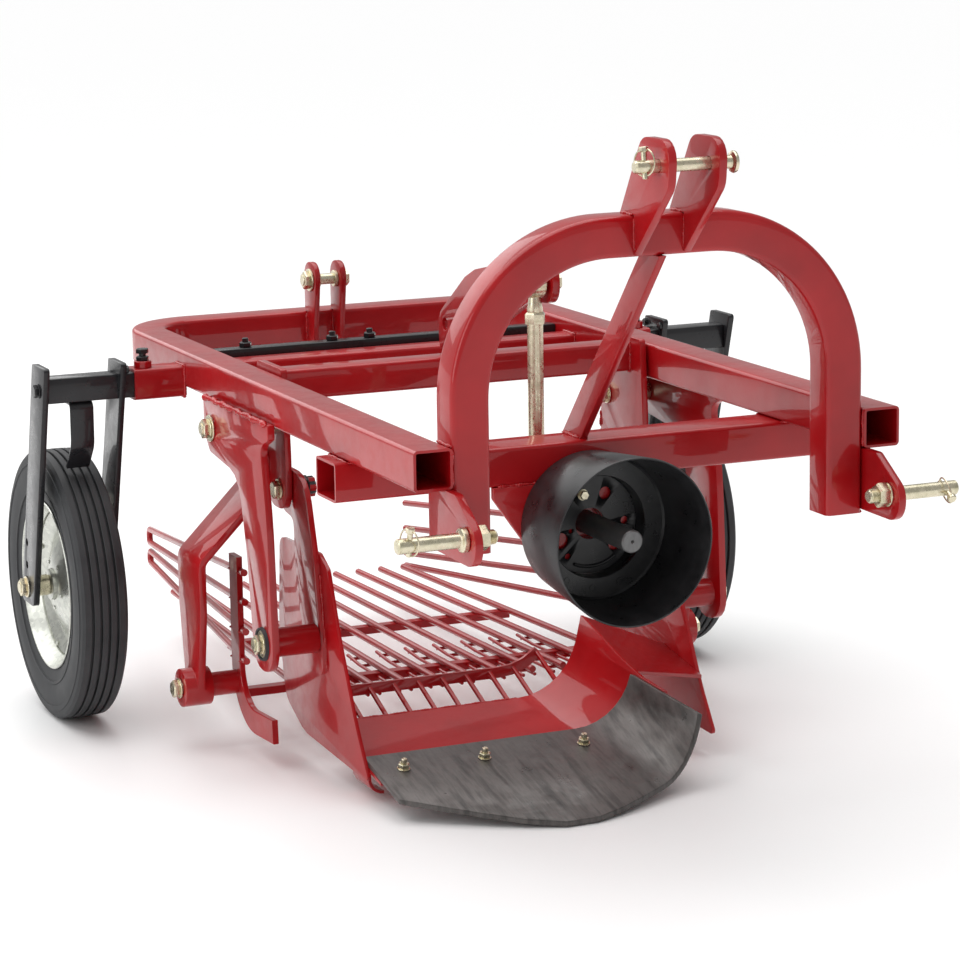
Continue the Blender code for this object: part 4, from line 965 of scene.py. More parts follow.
@dataclass
class CarryingFrame:
    """Bent square tube, front cross tube and the hanger plates that are welded to them."""

    tube: float = 0.060
    half: float = 0.362
    height: float = 0.609
    rear: float = 1.386
    bend: float = 0.110
    cross_y: float = 0.298
    cross_half: float = 0.411
    cross_depth: float = 0.080
    hanger_in: float = 0.3923
    hanger_out: float = 0.4043

    def build(self) -> None:
        """Builds and dresses every piece of the frame."""
        self.build_tubes()
        self.build_hangers()
        self.build_welds()

    def build_tubes(self) -> None:
        """The bent tube in one piece, and the cross tube under its arms."""
        bottom = self.height - self.tube / 2
        corners = [
            (at(self.half, 0, self.height), 0.0),
            (at(self.half, self.rear, self.height), self.bend),
            (at(-self.half, self.rear, self.height), self.bend),
            (at(-self.half, 0, self.height), 0.0),
        ]
        bent = BoxTube("frame_tube", arc_corners(corners), Axis.Z.value, self.tube, self.tube)
        nodes = ["frame_arm_left", "frame_arm_right", "frame_rear_bar"]
        finished(bent.build(), RED, "frame", nodes)
        cross_z = bottom - 0.0003 - self.tube / 2
        path = [at(-self.cross_half, self.cross_y, cross_z), at(self.cross_half, self.cross_y, cross_z)]
        cross = BoxTube("front_cross_tube_painted", path, Axis.Z.value, self.tube, self.cross_depth)
        finished(cross.build(), RED, "frame", ["front_cross_tube"])

    def build_hangers(self) -> None:
        """Hanger plates with broken edges, and their pivot bolts."""
        for side in Side:
            painted(f"hanger_plate_{side.word}", RED)
            self.build_pivot("rocker_pivot_bolt", side, 0.845, 0.537, 0.3155, False)
            self.build_pivot("share_pivot_bolt", side, 0.615, 0.225, 0.300, True)

    def build_pivot(
        self, node: str, side: Side, y: float, z: float, inner: float, bushed: bool
    ) -> None:
        """One pivot bolt with its washer, head and inner nut.

        Args:
            node: The frame's node that it stands for, without its side.
            side: The side that it sits on.
            y: Its place behind the frame's front ends.
            z: Its height.
            inner: Where its shank ends inside.
            bushed: Whether a black bush ring shows round the washer.
        """
        out = Axis.X.value * side.value
        shape = bmesh.new()
        disc(shape, at(side.value * (inner - 0.016), y, z), out, 0.0098, self.hanger_out - inner + 0.034, 28)
        disc(shape, at(side.value * (self.hanger_out + 0.0003), y, z), out, 0.0225, 0.0030, 40)
        disc(shape, at(side.value * (self.hanger_out + 0.0033), y, z), out, 0.0165, 0.0022, 32)
        hexagon(shape, at(side.value * (self.hanger_out + 0.0055), y, z), out, 0.028, 0.0105)
        disc(shape, at(side.value * (inner - 0.0003), y, z), -out, 0.0180, 0.0024, 32)
        hexagon(shape, at(side.value * (inner - 0.0027), y, z), -out, 0.028, 0.0085)
        name = f"{node}_{side.word}"
        if not bushed:
            low, high = 0.328, self.hanger_in - 0.0003
            disc(shape, at(side.value * low, y, z), out, 0.019, high - low, 32)
        finished(from_shape(shape, name + "_plated"), ZINC, "frame", [name])
        if bushed:
            ring = bmesh.new()
            profile = [(0.0, 0.0228), (0.0045, 0.0228), (0.0055, 0.0238), (0.0055, 0.0262), (0.0, 0.0275)]
            base = at(side.value * (self.hanger_out + 0.0002), y, z)
            along = [(a * side.value, r) for a, r in profile]
            lathe(ring, along, base, Axis.X, 40, closed=True)
            finished(from_shape(ring, f"share_bush_ring_{side.word}"), RUBBER, "frame")

    def build_welds(self) -> None:
        """Beads between the arms and what hangs from them."""
        bottom = self.height - self.tube / 2
        beads = []
        for side in Side:
            s = side.value
            edge = self.hanger_out - 0.0005
            top = bottom + 0.0064
            hanger = [at(s * edge, 0.572, top), at(s * edge, 0.876, top)]
            beads.append(WeldBead(hanger, 0.0095, 0.0052, 0.0016, s))
            rear = [at(s * 0.394, 0.8795, bottom - 0.012), at(s * 0.394, 0.8795, bottom + 0.004)]
            beads.append(WeldBead(rear, 0.006, 0.004, 0.0006, s + 1))
            for y in (self.cross_y - self.cross_depth / 2, self.cross_y + self.cross_depth / 2):
                line = [at(s * 0.3325, y, bottom - 0.0008), at(s * 0.3915, y, bottom - 0.0008)]
                beads.append(WeldBead(line, 0.0062, 0.0044, 0.0007, y * 9 + s))
            end = [at(s * 0.392, self.cross_y + dy, bottom - 0.001) for dy in (-0.036, 0.036)]
            beads.append(WeldBead(end, 0.0055, 0.0042, 0.0006, s * 2))
        weld_piece("frame_welds", "frame", beads)


@dataclass
class Headstock:
    """Arch, linkage ears and pins, and the brace behind them."""

    tube: float = 0.060
    front: float = 0.003
    half: float = 0.3017
    foot_z: float = 0.481
    top_z: float = 0.919
    bend: float = 0.220
    top_pin_y: float = -0.075
    top_pin_z: float = 1.026
    top_pin_radius: float = 0.0095
    lower_pin_y: float = -0.070
    lower_pin_z: float = 0.522
    lower_pin_radius: float = 0.011
    ear_in: float = 0.332
    ear_out: float = 0.344

    def build(self) -> None:
        """Builds and dresses every piece of the headstock."""
        self.build_arch()
        self.build_plates()
        self.build_top_pin()
        for side in Side:
            self.build_lower_pin(side)
        self.build_welds()

    def build_arch(self) -> None:
        """Arch of rolled square tube."""
        y = self.front + self.tube / 2
        corners = [
            (at(self.half, y, self.foot_z), 0.0),
            (at(self.half, y, self.top_z), self.bend),
            (at(-self.half, y, self.top_z), self.bend),
            (at(-self.half, y, self.foot_z), 0.0),
        ]
        path = arc_corners(corners, 3.0)
        arch = BoxTube("arch_tube", path, Axis.Y.value, self.tube, self.tube, corner=0.0085)
        finished(arch.build(), RED, "frame", ["headstock_arch"])

    def build_plates(self) -> None:
        """Ears and brace with broken edges."""
        ears = [f"{ear}_{side.word}" for ear in ("top_link_ear", "lower_hitch_ear") for side in Side]
        for node in (*ears, "headstock_brace"):
            painted(node, RED, edge=0.0016, steps=3)

    def build_top_pin(self) -> None:
        """Loose pin with an upset head, and its linch pin."""
        shape = bmesh.new()
        r = self.top_pin_radius
        profile = [
            (-0.0835, r - 0.0025), (-0.0810, r), (0.0675, r), (0.0680, r + 0.001), (0.0700, 0.0150),
            (0.0720, 0.0160), (0.0745, 0.0155), (0.0755, 0.0120),
        ]
        lathe(shape, profile, at(0, self.top_pin_y, self.top_pin_z), Axis.X, 40)
        finished(from_shape(shape, "top_link_pin_plated"), ZINC, "frame", ["top_link_pin"])
        place = at(-0.0665, self.top_pin_y, self.top_pin_z)
        LinchPin("top_linch_pin", place, -8.0, 28.0, 0.0042, 0.0175, 0.0175).build()

    def build_lower_pin(self, side: Side) -> None:
        """One lower linkage pin with its shoulder, threaded end, nut, washer and linch pin.

        Args:
            side: The side that it sits on.
        """
        shape = bmesh.new()
        r = self.lower_pin_radius
        s = side.value
        profile = [(0.2985, r - 0.0028), (0.3005, r - 0.0012)]
        turns = 9
        for k in range(turns):
            a = 0.3010 + 0.0013 * k
            profile += [(a, r - 0.0013), (a + 0.00065, r - 0.0003)]
        profile += [
            (0.3135, r - 0.0006), (self.ear_out + 0.0004, r - 0.0006), (self.ear_out + 0.0004, 0.0168),
            (self.ear_out + 0.0016, 0.0178), (self.ear_out + 0.0075, 0.0178),
            (self.ear_out + 0.0090, 0.0165),
            (self.ear_out + 0.0100, 0.0125), (self.ear_out + 0.0115, r), (0.4465, r), (0.4485, r - 0.0020),
        ]
        centre = at(0, self.lower_pin_y, self.lower_pin_z)
        lathe(shape, [(s * a, rad) for a, rad in profile], centre, Axis.X, 40)
        nut_seat = at(s * (self.ear_in - 0.0033), self.lower_pin_y, self.lower_pin_z)
        hexagon(shape, nut_seat, -Axis.X.value * s, 0.0320, 0.0165)
        washer_seat = at(s * (self.ear_in - 0.0003), self.lower_pin_y, self.lower_pin_z)
        disc(shape, washer_seat, -Axis.X.value * s, 0.0180, 0.0030, 36)
        node = f"lower_hitch_pin_{side.word}"
        finished(from_shape(shape, node + "_plated"), ZINC, "frame", [node])
        place = at(s * 0.4290, self.lower_pin_y, self.lower_pin_z)
        turn = 24.0 if side is Side.RIGHT else -34.0
        lean = 12.0 if side is Side.RIGHT else 118.0
        LinchPin(f"lower_linch_pin_{side.word}", place, lean, turn, 0.0040, 0.0165, 0.0180).build()

    def build_welds(self) -> None:
        """Beads at the ears, the arch's feet and the brace."""
        back = self.front + self.tube
        top = self.top_z + self.tube / 2
        beads = []
        for side in Side:
            s = side.value
            for x in (0.0335, 0.0455):
                line = [at(s * x, self.front + dy, top + 0.0008) for dy in (0.004, 0.042)]
                beads.append(WeldBead(line, 0.0058, 0.0042, 0.0006, x * 80 + s))
                fall = [at(s * x, self.front - 0.0004, top - drop) for drop in (0.004, 0.050)]
                beads.append(WeldBead(fall, 0.0040, 0.0040, 0.0004, x * 50 + s))
            arm_face = s * 0.3322
            for y in (self.front + 0.0005, back + 0.0005):
                line = [at(arm_face, y, 0.582), at(arm_face, y, 0.637)]
                beads.append(WeldBead(line, 0.0056, 0.0042, 0.0006, y * 30 + s))
            over = [at(s * 0.3318, self.front + 0.004, 0.6395), at(s * 0.3318, back - 0.004, 0.6395)]
            beads.append(WeldBead(over, 0.0062, 0.0044, 0.0007, s * 5))
            ear = [at(s * 0.3445, self.front + 0.002, 0.5785), at(s * 0.3445, back - 0.004, 0.5785)]
            beads.append(WeldBead(ear, 0.0056, 0.0042, 0.0005, s * 7))
            under = [at(s * 0.3322, self.front + 0.004, 0.4818), at(s * 0.3322, back - 0.006, 0.4818)]
            beads.append(WeldBead(under, 0.0052, 0.0042, 0.0005, s * 8))
            rear = [at(s * 0.3325, back + 0.0004, 0.492), at(s * 0.3325, back + 0.0004, 0.574)]
            beads.append(WeldBead(rear, 0.0050, 0.0042, 0.0005, s * 9))
            foot = [at(s * 0.0062, 0.278, 0.5794), at(s * 0.0062, 0.336, 0.5794)]
            beads.append(WeldBead(foot, 0.0075, 0.0048, 0.0009, s * 11))
        head = [at(-0.006, 0.066, 0.8880), at(0.006, 0.066, 0.8880)]
        beads.append(WeldBead(head, 0.006, 0.0042, 0.0004, 3.0))
        foot_bead = [at(-0.007, 0.2735, 0.5800), at(0.007, 0.2735, 0.5800)]
        beads.append(WeldBead(foot_bead, 0.0085, 0.0050, 0.0006, 4.0))
        weld_piece("headstock_welds", "frame", beads)


@dataclass
class Drive:
    """Bearing plate, bearing, guard, shaft and crank."""

    shaft_z: float = 0.450
    shaft_radius: float = 0.0175
    plate_front: float = 0.258
    plate_back: float = 0.270
    guard_front: float = 0.095
    rim_radius: float = 0.129
    back_radius: float = 0.112
    crank_back: float = 0.372

    def build(self) -> None:
        """Builds and dresses every piece of the drive."""
        painted("bearing_plate", RED)
        self.build_bearing()
        self.build_guard()
        self.build_shaft()
        self.build_welds()

    def build_bearing(self) -> None:
        """Flanged bearing with four bolts and a grease nipple."""
        shape = bmesh.new()
        centre = at(0, self.plate_back, self.shaft_z)
        profile = [
            (0.0004, 0.0182), (0.0004, 0.0655), (0.0016, 0.0665), (0.0105, 0.0665), (0.0120, 0.0650),
            (0.0135, 0.0545), (0.0165, 0.0522), (0.0490, 0.0515), (0.0520, 0.0490), (0.0560, 0.0440),
            (0.0655, 0.0420), (0.0660, 0.0300), (0.0620, 0.0285), (0.0620, 0.0182),
        ]
        lathe(shape, profile, centre, Axis.Y, 56, closed=True)
        finished(from_shape(shape, "bearing_housing_painted"), RED, "frame", ["shaft_bearing_housing"])
        bolts = bmesh.new()
        for k in range(4):
            place = about_y(centre, 45 + 90 * k, 0.059, 0.0121)
            disc(bolts, place, Axis.Y.value, 0.0078, 0.0014, 24, 0.0003)
            hexagon(bolts, place + Vector((0, 0.0014, 0)), Axis.Y.value, 0.0100, 0.0050)
        nipple = centre + Vector((0, 0.034, 0.0515))
        hexagon(bolts, nipple, Axis.Z.value, 0.0080, 0.0050)
        disc(bolts, nipple + Vector((0, 0, 0.005)), Axis.Z.value, 0.0026, 0.0080, 16, 0.0006)
        finished(from_shape(bolts, "bearing_bolts"), ZINC, "frame")

    def build_guard(self) -> None:
        """Moulded cup with a floor ring, a recess and the marks of its pins."""
        shape = bmesh.new()
        length = self.plate_front - 0.0003 - self.guard_front
        wall = 0.0035
        floor = length - 0.034
        recess = 0.079
        mid = self.back_radius + (self.rim_radius - self.back_radius) * (length - floor) / length
        profile = [
            (length, recess + wall), (floor + wall, recess + wall + 0.001), (floor + wall, mid - 0.006),
            (floor + wall + 0.006, mid - 0.001), (length - 0.001, self.back_radius - 0.0005),
            (length, self.back_radius + 0.001), (floor + 0.004, mid + 0.0004),
            (0.0018, self.rim_radius - 0.0002), (0.0, self.rim_radius - 0.0012),
            (0.0, self.rim_radius - wall + 0.0008), (0.0012, self.rim_radius - wall - 0.0002),
            (floor - 0.003, mid - wall - 0.0002), (floor, mid - wall - 0.0035), (floor, recess + 0.001),
            (floor + 0.001, recess), (length, recess - 0.0008),
        ]
        base = at(0, self.guard_front, self.shaft_z)
        lathe(shape, profile, base, Axis.Y, 112, closed=True)
        finished(from_shape(shape, "drive_guard_cup", 40.0), PLASTIC, "frame", ["drive_guard"])
        self.build_guard_floor(base, length, recess)
        marks = bmesh.new()
        for turn in (-68.0, -96.0, -124.0, 22.0, 158.0):
            spot = about_y(base, turn, 0.0945, floor - 0.0001)
            ring = [(-0.0007, 0.0040), (-0.0007, 0.0052), (0.0006, 0.0056), (0.0006, 0.0036)]
            lathe(marks, ring, spot, Axis.Y, 24, closed=True)
        finished(from_shape(marks, "guard_pin_marks"), PLASTIC, "frame")

    def build_guard_floor(self, base: Vector, length: float, recess: float) -> None:
        """Back wall inside the recess, with round windows, two ribs and the bolt that holds it.

        Args:
            base: Middle of the guard's rim.
            length: Depth of the guard.
            recess: Radius of its recess.
        """
        shape = bmesh.new()
        outer, inner = recess - 0.0012, 0.0245
        front, back = length - 0.0055, length - 0.0025
        ring = [(front, inner), (front, outer), (back, outer), (back, inner)]
        lathe(shape, ring, base, Axis.Y, 96, closed=True)
        wall = from_shape(shape, "guard_back_wall")
        cutters = bmesh.new()
        for turn, distance, radius in (
            (205.0, 0.054, 0.0125), (232.0, 0.061, 0.0050), (196.0, 0.0335, 0.0035), (60.0, 0.052, 0.0100),
            (118.0, 0.058, 0.0085), (320.0, 0.054, 0.0110), (0.0, 0.058, 0.0060),
        ):
            spot = about_y(base, turn, distance, length - 0.012)
            disc(cutters, spot, Axis.Y.value, radius, 0.016, 32)
        cutter = from_shape(cutters, "guard_windows")
        modifier = wall.modifiers.new("windows", "BOOLEAN")
        modifier.operation = "DIFFERENCE"
        modifier.solver = "EXACT"
        modifier.object = cutter
        bpy.context.view_layer.update()
        mesh = bpy.data.meshes.new_from_object(wall.evaluated_get(bpy.context.evaluated_depsgraph_get()))
        wall.modifiers.clear()
        wall.data = mesh
        bpy.data.objects.remove(cutter, do_unlink=True)
        finished(wall, PLASTIC, "frame")
        ribs = bmesh.new()
        for turn in (150.0, 245.0):
            arc = [
                about_y(base, turn + 62.0 * k / 16, 0.0665, length - 0.0075)
                for k in range(17)
            ]
            tube_path(ribs, arc, 0.0026, 10)
        finished(from_shape(ribs, "guard_back_ribs"), PLASTIC, "frame")
        bolt = bmesh.new()
        spot = base + Vector((-0.012, length - 0.0056, 0.046))
        disc(bolt, spot, -Axis.Y.value, 0.0088, 0.0014, 28, 0.0003)
        hexagon(bolt, spot - Vector((0, 0.0014, 0)), -Axis.Y.value, 0.0130, 0.0075)
        finished(from_shape(bolt, "guard_bolt"), ZINC, "frame")

    def build_shaft(self) -> None:
        """Shaft with a centre hole, and the crank disc with its pin behind it."""
        front = 0.105
        shape = bmesh.new()
        r = self.shaft_radius
        profile = [
            (0.0050, 0.0002), (0.0030, 0.0012), (0.0008, 0.0024), (0.0, 0.0030), (0.0, r - 0.0022),
            (0.0016, r - 0.0004), (0.0022, r), (0.2498, r), (0.2500, r - 0.001),
        ]
        lathe(shape, profile, at(0, front, self.shaft_z), Axis.Y, 56)
        finished(from_shape(shape, "input_shaft_turned"), SHAFT_STEEL, "input_shaft", ["input_shaft"])
        crank = bmesh.new()
        centre = at(0, self.crank_back, self.shaft_z)
        profile = [
            (-0.0175, 0.0200), (-0.0175, 0.0565), (-0.0160, 0.0580), (-0.0015, 0.0580), (0.0, 0.0565),
            (0.0, 0.0240), (-0.0020, 0.0225), (-0.0020, 0.0002),
        ]
        lathe(crank, profile, centre, Axis.Y, 64)
        pin = centre + Vector((-0.015, -0.003, 0))
        disc(crank, pin, Axis.Y.value, 0.0110, 0.0150, 32)
        finished(from_shape(crank, "crank_disc_turned"), SHAFT_STEEL, "input_shaft", ["crank_disc"])

    def build_welds(self) -> None:
        """Bead between the bearing plate and the cross tube."""
        line = [at(-0.150, self.plate_front + 0.0015, 0.5195), at(0.150, self.plate_front + 0.0015, 0.5195)]
        weld_piece("bearing_plate_weld", "frame", [WeldBead(line, 0.0048, 0.0044, 0.0005, 1.0)])


@dataclass
class Rocker:
    """Cross tube, end plates, lever and sieve straps that swing together."""

    tube: float = 0.050
    tube_y: float = 0.777
    tube_z: float = 0.613
    half: float = 0.3265
    plate: float = 0.011
    drive_y: float = 0.738
    drive_z: float = 0.447
    stud_end: float = 0.2795
    lever_y: float = 0.420
    lever_z: float = 0.800
    sieve_y: float = 0.840

    def build(self) -> None:
        """Builds and dresses every piece of the rocker."""
        inner = self.half - self.plate
        path = [at(-inner + 0.0003, self.tube_y, self.tube_z), at(inner - 0.0003, self.tube_y, self.tube_z)]
        tube = BoxTube("rocker_tube_painted", path, Axis.Z.value, self.tube, self.tube)
        finished(tube.build(), RED, "rocker", ["rocker_tube"])
        for side in Side:
            for node in (f"rocker_end_plate_{side.word}", f"sieve_strap_{side.word}"):
                painted(node, RED, "rocker", steps=3)
            self.build_drive_bolt(side)
        painted("rocker_lever", RED, "rocker", steps=3)
        self.build_lever_bolt()
        self.build_welds()

    def build_drive_bolt(self, side: Side) -> None:
        """Black bush and bolt between an end plate and the share's arm.

        Args:
            side: The side that it sits on.
        """
        s = side.value
        out = Axis.X.value * s
        shape = bmesh.new()
        inner = self.stud_end
        disc(shape, at(s * inner, self.drive_y, self.drive_z), out, 0.0190, 0.0030, 36)
        hexagon(shape, at(s * (inner - 0.0003), self.drive_y, self.drive_z), -out, 0.0300, 0.0120)
        finished(from_shape(shape, f"share_drive_bolt_{side.word}"), BLACK, "rocker")
        bolt = bmesh.new()
        outer = self.half + 0.0002
        disc(bolt, at(s * outer, self.drive_y, self.drive_z), out, 0.0175, 0.0030, 36)
        hexagon(bolt, at(s * (outer + 0.003), self.drive_y, self.drive_z), out, 0.0260, 0.0090)
        finished(from_shape(bolt, f"share_drive_nut_{side.word}"), ZINC, "rocker")

    def build_lever_bolt(self) -> None:
        """Bolt that carries the top eye of the connecting rod."""
        shape = bmesh.new()
        seat = 0.0178
        tail = at(-0.0285, self.lever_y, self.lever_z)
        disc(shape, at(seat, self.lever_y, self.lever_z), Axis.X.value, 0.0165, 0.0026, 36)
        hexagon(shape, at(seat + 0.0026, self.lever_y, self.lever_z), Axis.X.value, 0.0240, 0.0100)
        disc(shape, tail, Axis.X.value, 0.0098, 0.0180, 28)
        disc(shape, tail, -Axis.X.value, 0.0150, 0.0030, 32)
        finished(from_shape(shape, "lever_bolt"), ZINC, "rocker")

    def build_welds(self) -> None:
        """Beads round the tube's ends, the lever's foot and the straps."""
        top = self.tube_z + self.tube / 2
        half = self.tube / 2
        beads = []
        for side in Side:
            s = side.value
            x = s * (self.half - self.plate - 0.0006)
            ring = [
                (self.tube_y - half, top), (self.tube_y + half, top),
                (self.tube_y + half, top - self.tube), (self.tube_y - half, top - self.tube),
            ]
            for (a, b), (c, d) in zip(ring, ring[1:] + ring[:1]):
                beads.append(WeldBead([at(x, a, b), at(x, c, d)], 0.0056, 0.0042, 0.0005, a * 20 + s))
            edge = s * (self.half + 0.0006)
            for y in (self.sieve_y - 0.0545, self.sieve_y + 0.0545):
                line = [at(edge, y, 0.4700), at(edge, y, 0.4980)]
                beads.append(WeldBead(line, 0.0052, 0.0042, 0.0005, y * 7 + s))
        for x in (0.0050, 0.0180):
            line = [at(x, self.tube_y + dy, top + 0.0012) for dy in (0.002 - half, half - 0.002)]
            beads.append(WeldBead(line, 0.0060, 0.0044, 0.0007, x * 99))
        weld_piece("rocker_welds", "rocker", beads)


@dataclass
class ConnectingRod:
    """Plated rod with a forged top eye, a lock nut and a lower bearing eye."""

    x: float = -0.012
    y: float = 0.420
    low: float = 0.450
    high: float = 0.800
    radius: float = 0.0125
    bore: float = 0.0130
    eye: float = 0.026
    eye_half: float = 0.015

    def build(self) -> None:
        """Builds the rod in one piece."""
        shape = bmesh.new()
        base = at(self.x, self.y, 0.0)
        neck = self.high - 0.062
        profile = [
            (self.low + self.eye - 0.002, 0.0150), (self.low + self.eye + 0.004, 0.0140),
            (self.low + self.eye + 0.012, self.radius), (neck - 0.001, self.radius),
        ]
        lathe(shape, profile, base, Axis.Z, 40)
        hexagon(shape, base + Vector((0, 0, neck - 0.001)), Axis.Z.value, 0.0295, 0.0180)
        rod_end = [
            (neck + 0.0165, 0.0118), (neck + 0.0200, 0.0128), (neck + 0.0290, 0.0110),
            (self.high - 0.012, 0.0090),
        ]
        lathe(shape, rod_end, base, Axis.Z, 36)
        ring = [
            (-0.0120, 0.0104), (-0.0120, 0.0205), (-0.0105, 0.0225), (-0.0050, 0.0230), (0.0050, 0.0230),
            (0.0105, 0.0225), (0.0120, 0.0205), (0.0120, 0.0104),
        ]
        lathe(shape, ring, at(self.x, self.y, self.high), Axis.X, 44, closed=True)
        h = self.eye_half
        inner, outer = self.bore, self.eye
        cup = [
            (-h, inner + 0.0010), (-h, outer - 0.0015), (-h + 0.0015, outer), (h - 0.0015, outer),
            (h, outer - 0.0015), (h, inner + 0.0010), (h - 0.001, inner), (-h + 0.001, inner),
        ]
        lathe(shape, cup, at(self.x, self.y, self.low), Axis.Y, 48, closed=True)
        nipple = at(self.x - 0.0225, self.y, self.high)
        disc(shape, nipple, -Axis.X.value, 0.0030, 0.0001, 12, 0.00002)
        finished(from_shape(shape, "connecting_rod_plated"), ZINC, "connecting_rod", ["connecting_rod"])


@dataclass
class Share:
    """Blade, carrier, side plates and rear grate."""

    tilt: float = math.radians(11.5)
    point_y: float = 0.170
    bolts: tuple[tuple[float, float], ...] = ((-0.255, 0.400), (-0.117, 0.400), (0.057, 0.403))
    blade: float = 0.009

    def floor(self, y: float) -> float:
        """Height of the blade's underside at a place along the machine."""
        return (y - self.point_y) * math.tan(self.tilt)

    def build(self) -> None:
        """Builds and dresses every piece of the share."""
        blade = softened("share_blade", "share_blade_worn", 0.0012, 2)
        finished(blade, BLADE_STEEL, "share", ["share_blade"])
        for node in ("share_carrier", "share_rear_grate"):
            painted(node, RED, "share", 0.0007, 1)
        for side in Side:
            painted(f"share_side_plate_{side.word}", RED, "share", 0.0010)
        self.build_bolts()
        self.build_welds()

    def build_bolts(self) -> None:
        """Three bolts that stand on the blade with their nuts and thread ends."""
        up = Vector((0.0, -math.sin(self.tilt), math.cos(self.tilt)))
        shape = bmesh.new()
        for x, y in self.bolts:
            seat = at(x, y, self.floor(y) + self.blade + 0.0004)
            disc(shape, seat, up, 0.0105, 0.0016, 28, 0.0004)
            hexagon(shape, seat + up * 0.0016, up, 0.0165, 0.0080)
            disc(shape, seat + up * 0.009, up, 0.0048, 0.0085, 20, 0.0010)
        finished(from_shape(shape, "blade_bolts"), ZINC, "share")

    def build_welds(self) -> None:
        """Beads between the side plates, their arms and the carrier."""
        beads = []
        for side in Side:
            s = side.value
            edge = s * 0.3068
            arm = [at(edge, 0.590, 0.175), at(edge, 0.612, 0.330)]
            beads.append(WeldBead(arm, 0.0062, 0.0048, 0.0010, s))
            back = [at(edge, 0.672, 0.200), at(edge, 0.707, 0.318), at(edge, 0.716, 0.340)]
            beads.append(WeldBead(back, 0.0060, 0.0046, 0.0008, s + 2))
        z0, z1 = self.floor(0.460), self.floor(0.598)
        line = [at(-0.2990, 0.460, z0 + 0.0015), at(-0.2990, 0.598, z1 + 0.0015)]
        beads.append(WeldBead(line, 0.0050, 0.0044, 0.0005, 5.0))
        rear = [at(-0.285, 0.6003, z1 - 0.0005), at(0.030, 0.6003, z1 - 0.0005)]
        beads.append(WeldBead(rear, 0.0042, 0.0060, 0.0004, 6.0))
        weld_piece("share_welds", "share", beads)


def flat_section(a: float, b: float, cut: float) -> list[tuple[float, float]]:
    """Section of a flat bar with its corners cut off.

    Args:
        a: Half of its first side.
        b: Half of its second side.
        cut: How much each corner loses.

    Returns:
        The eight points.
    """
    return [
        (-a + cut, -b), (a - cut, -b), (a, -b + cut), (a, b - cut),
        (a - cut, b), (-a + cut, b), (-a, b - cut), (-a, -b + cut),
    ]


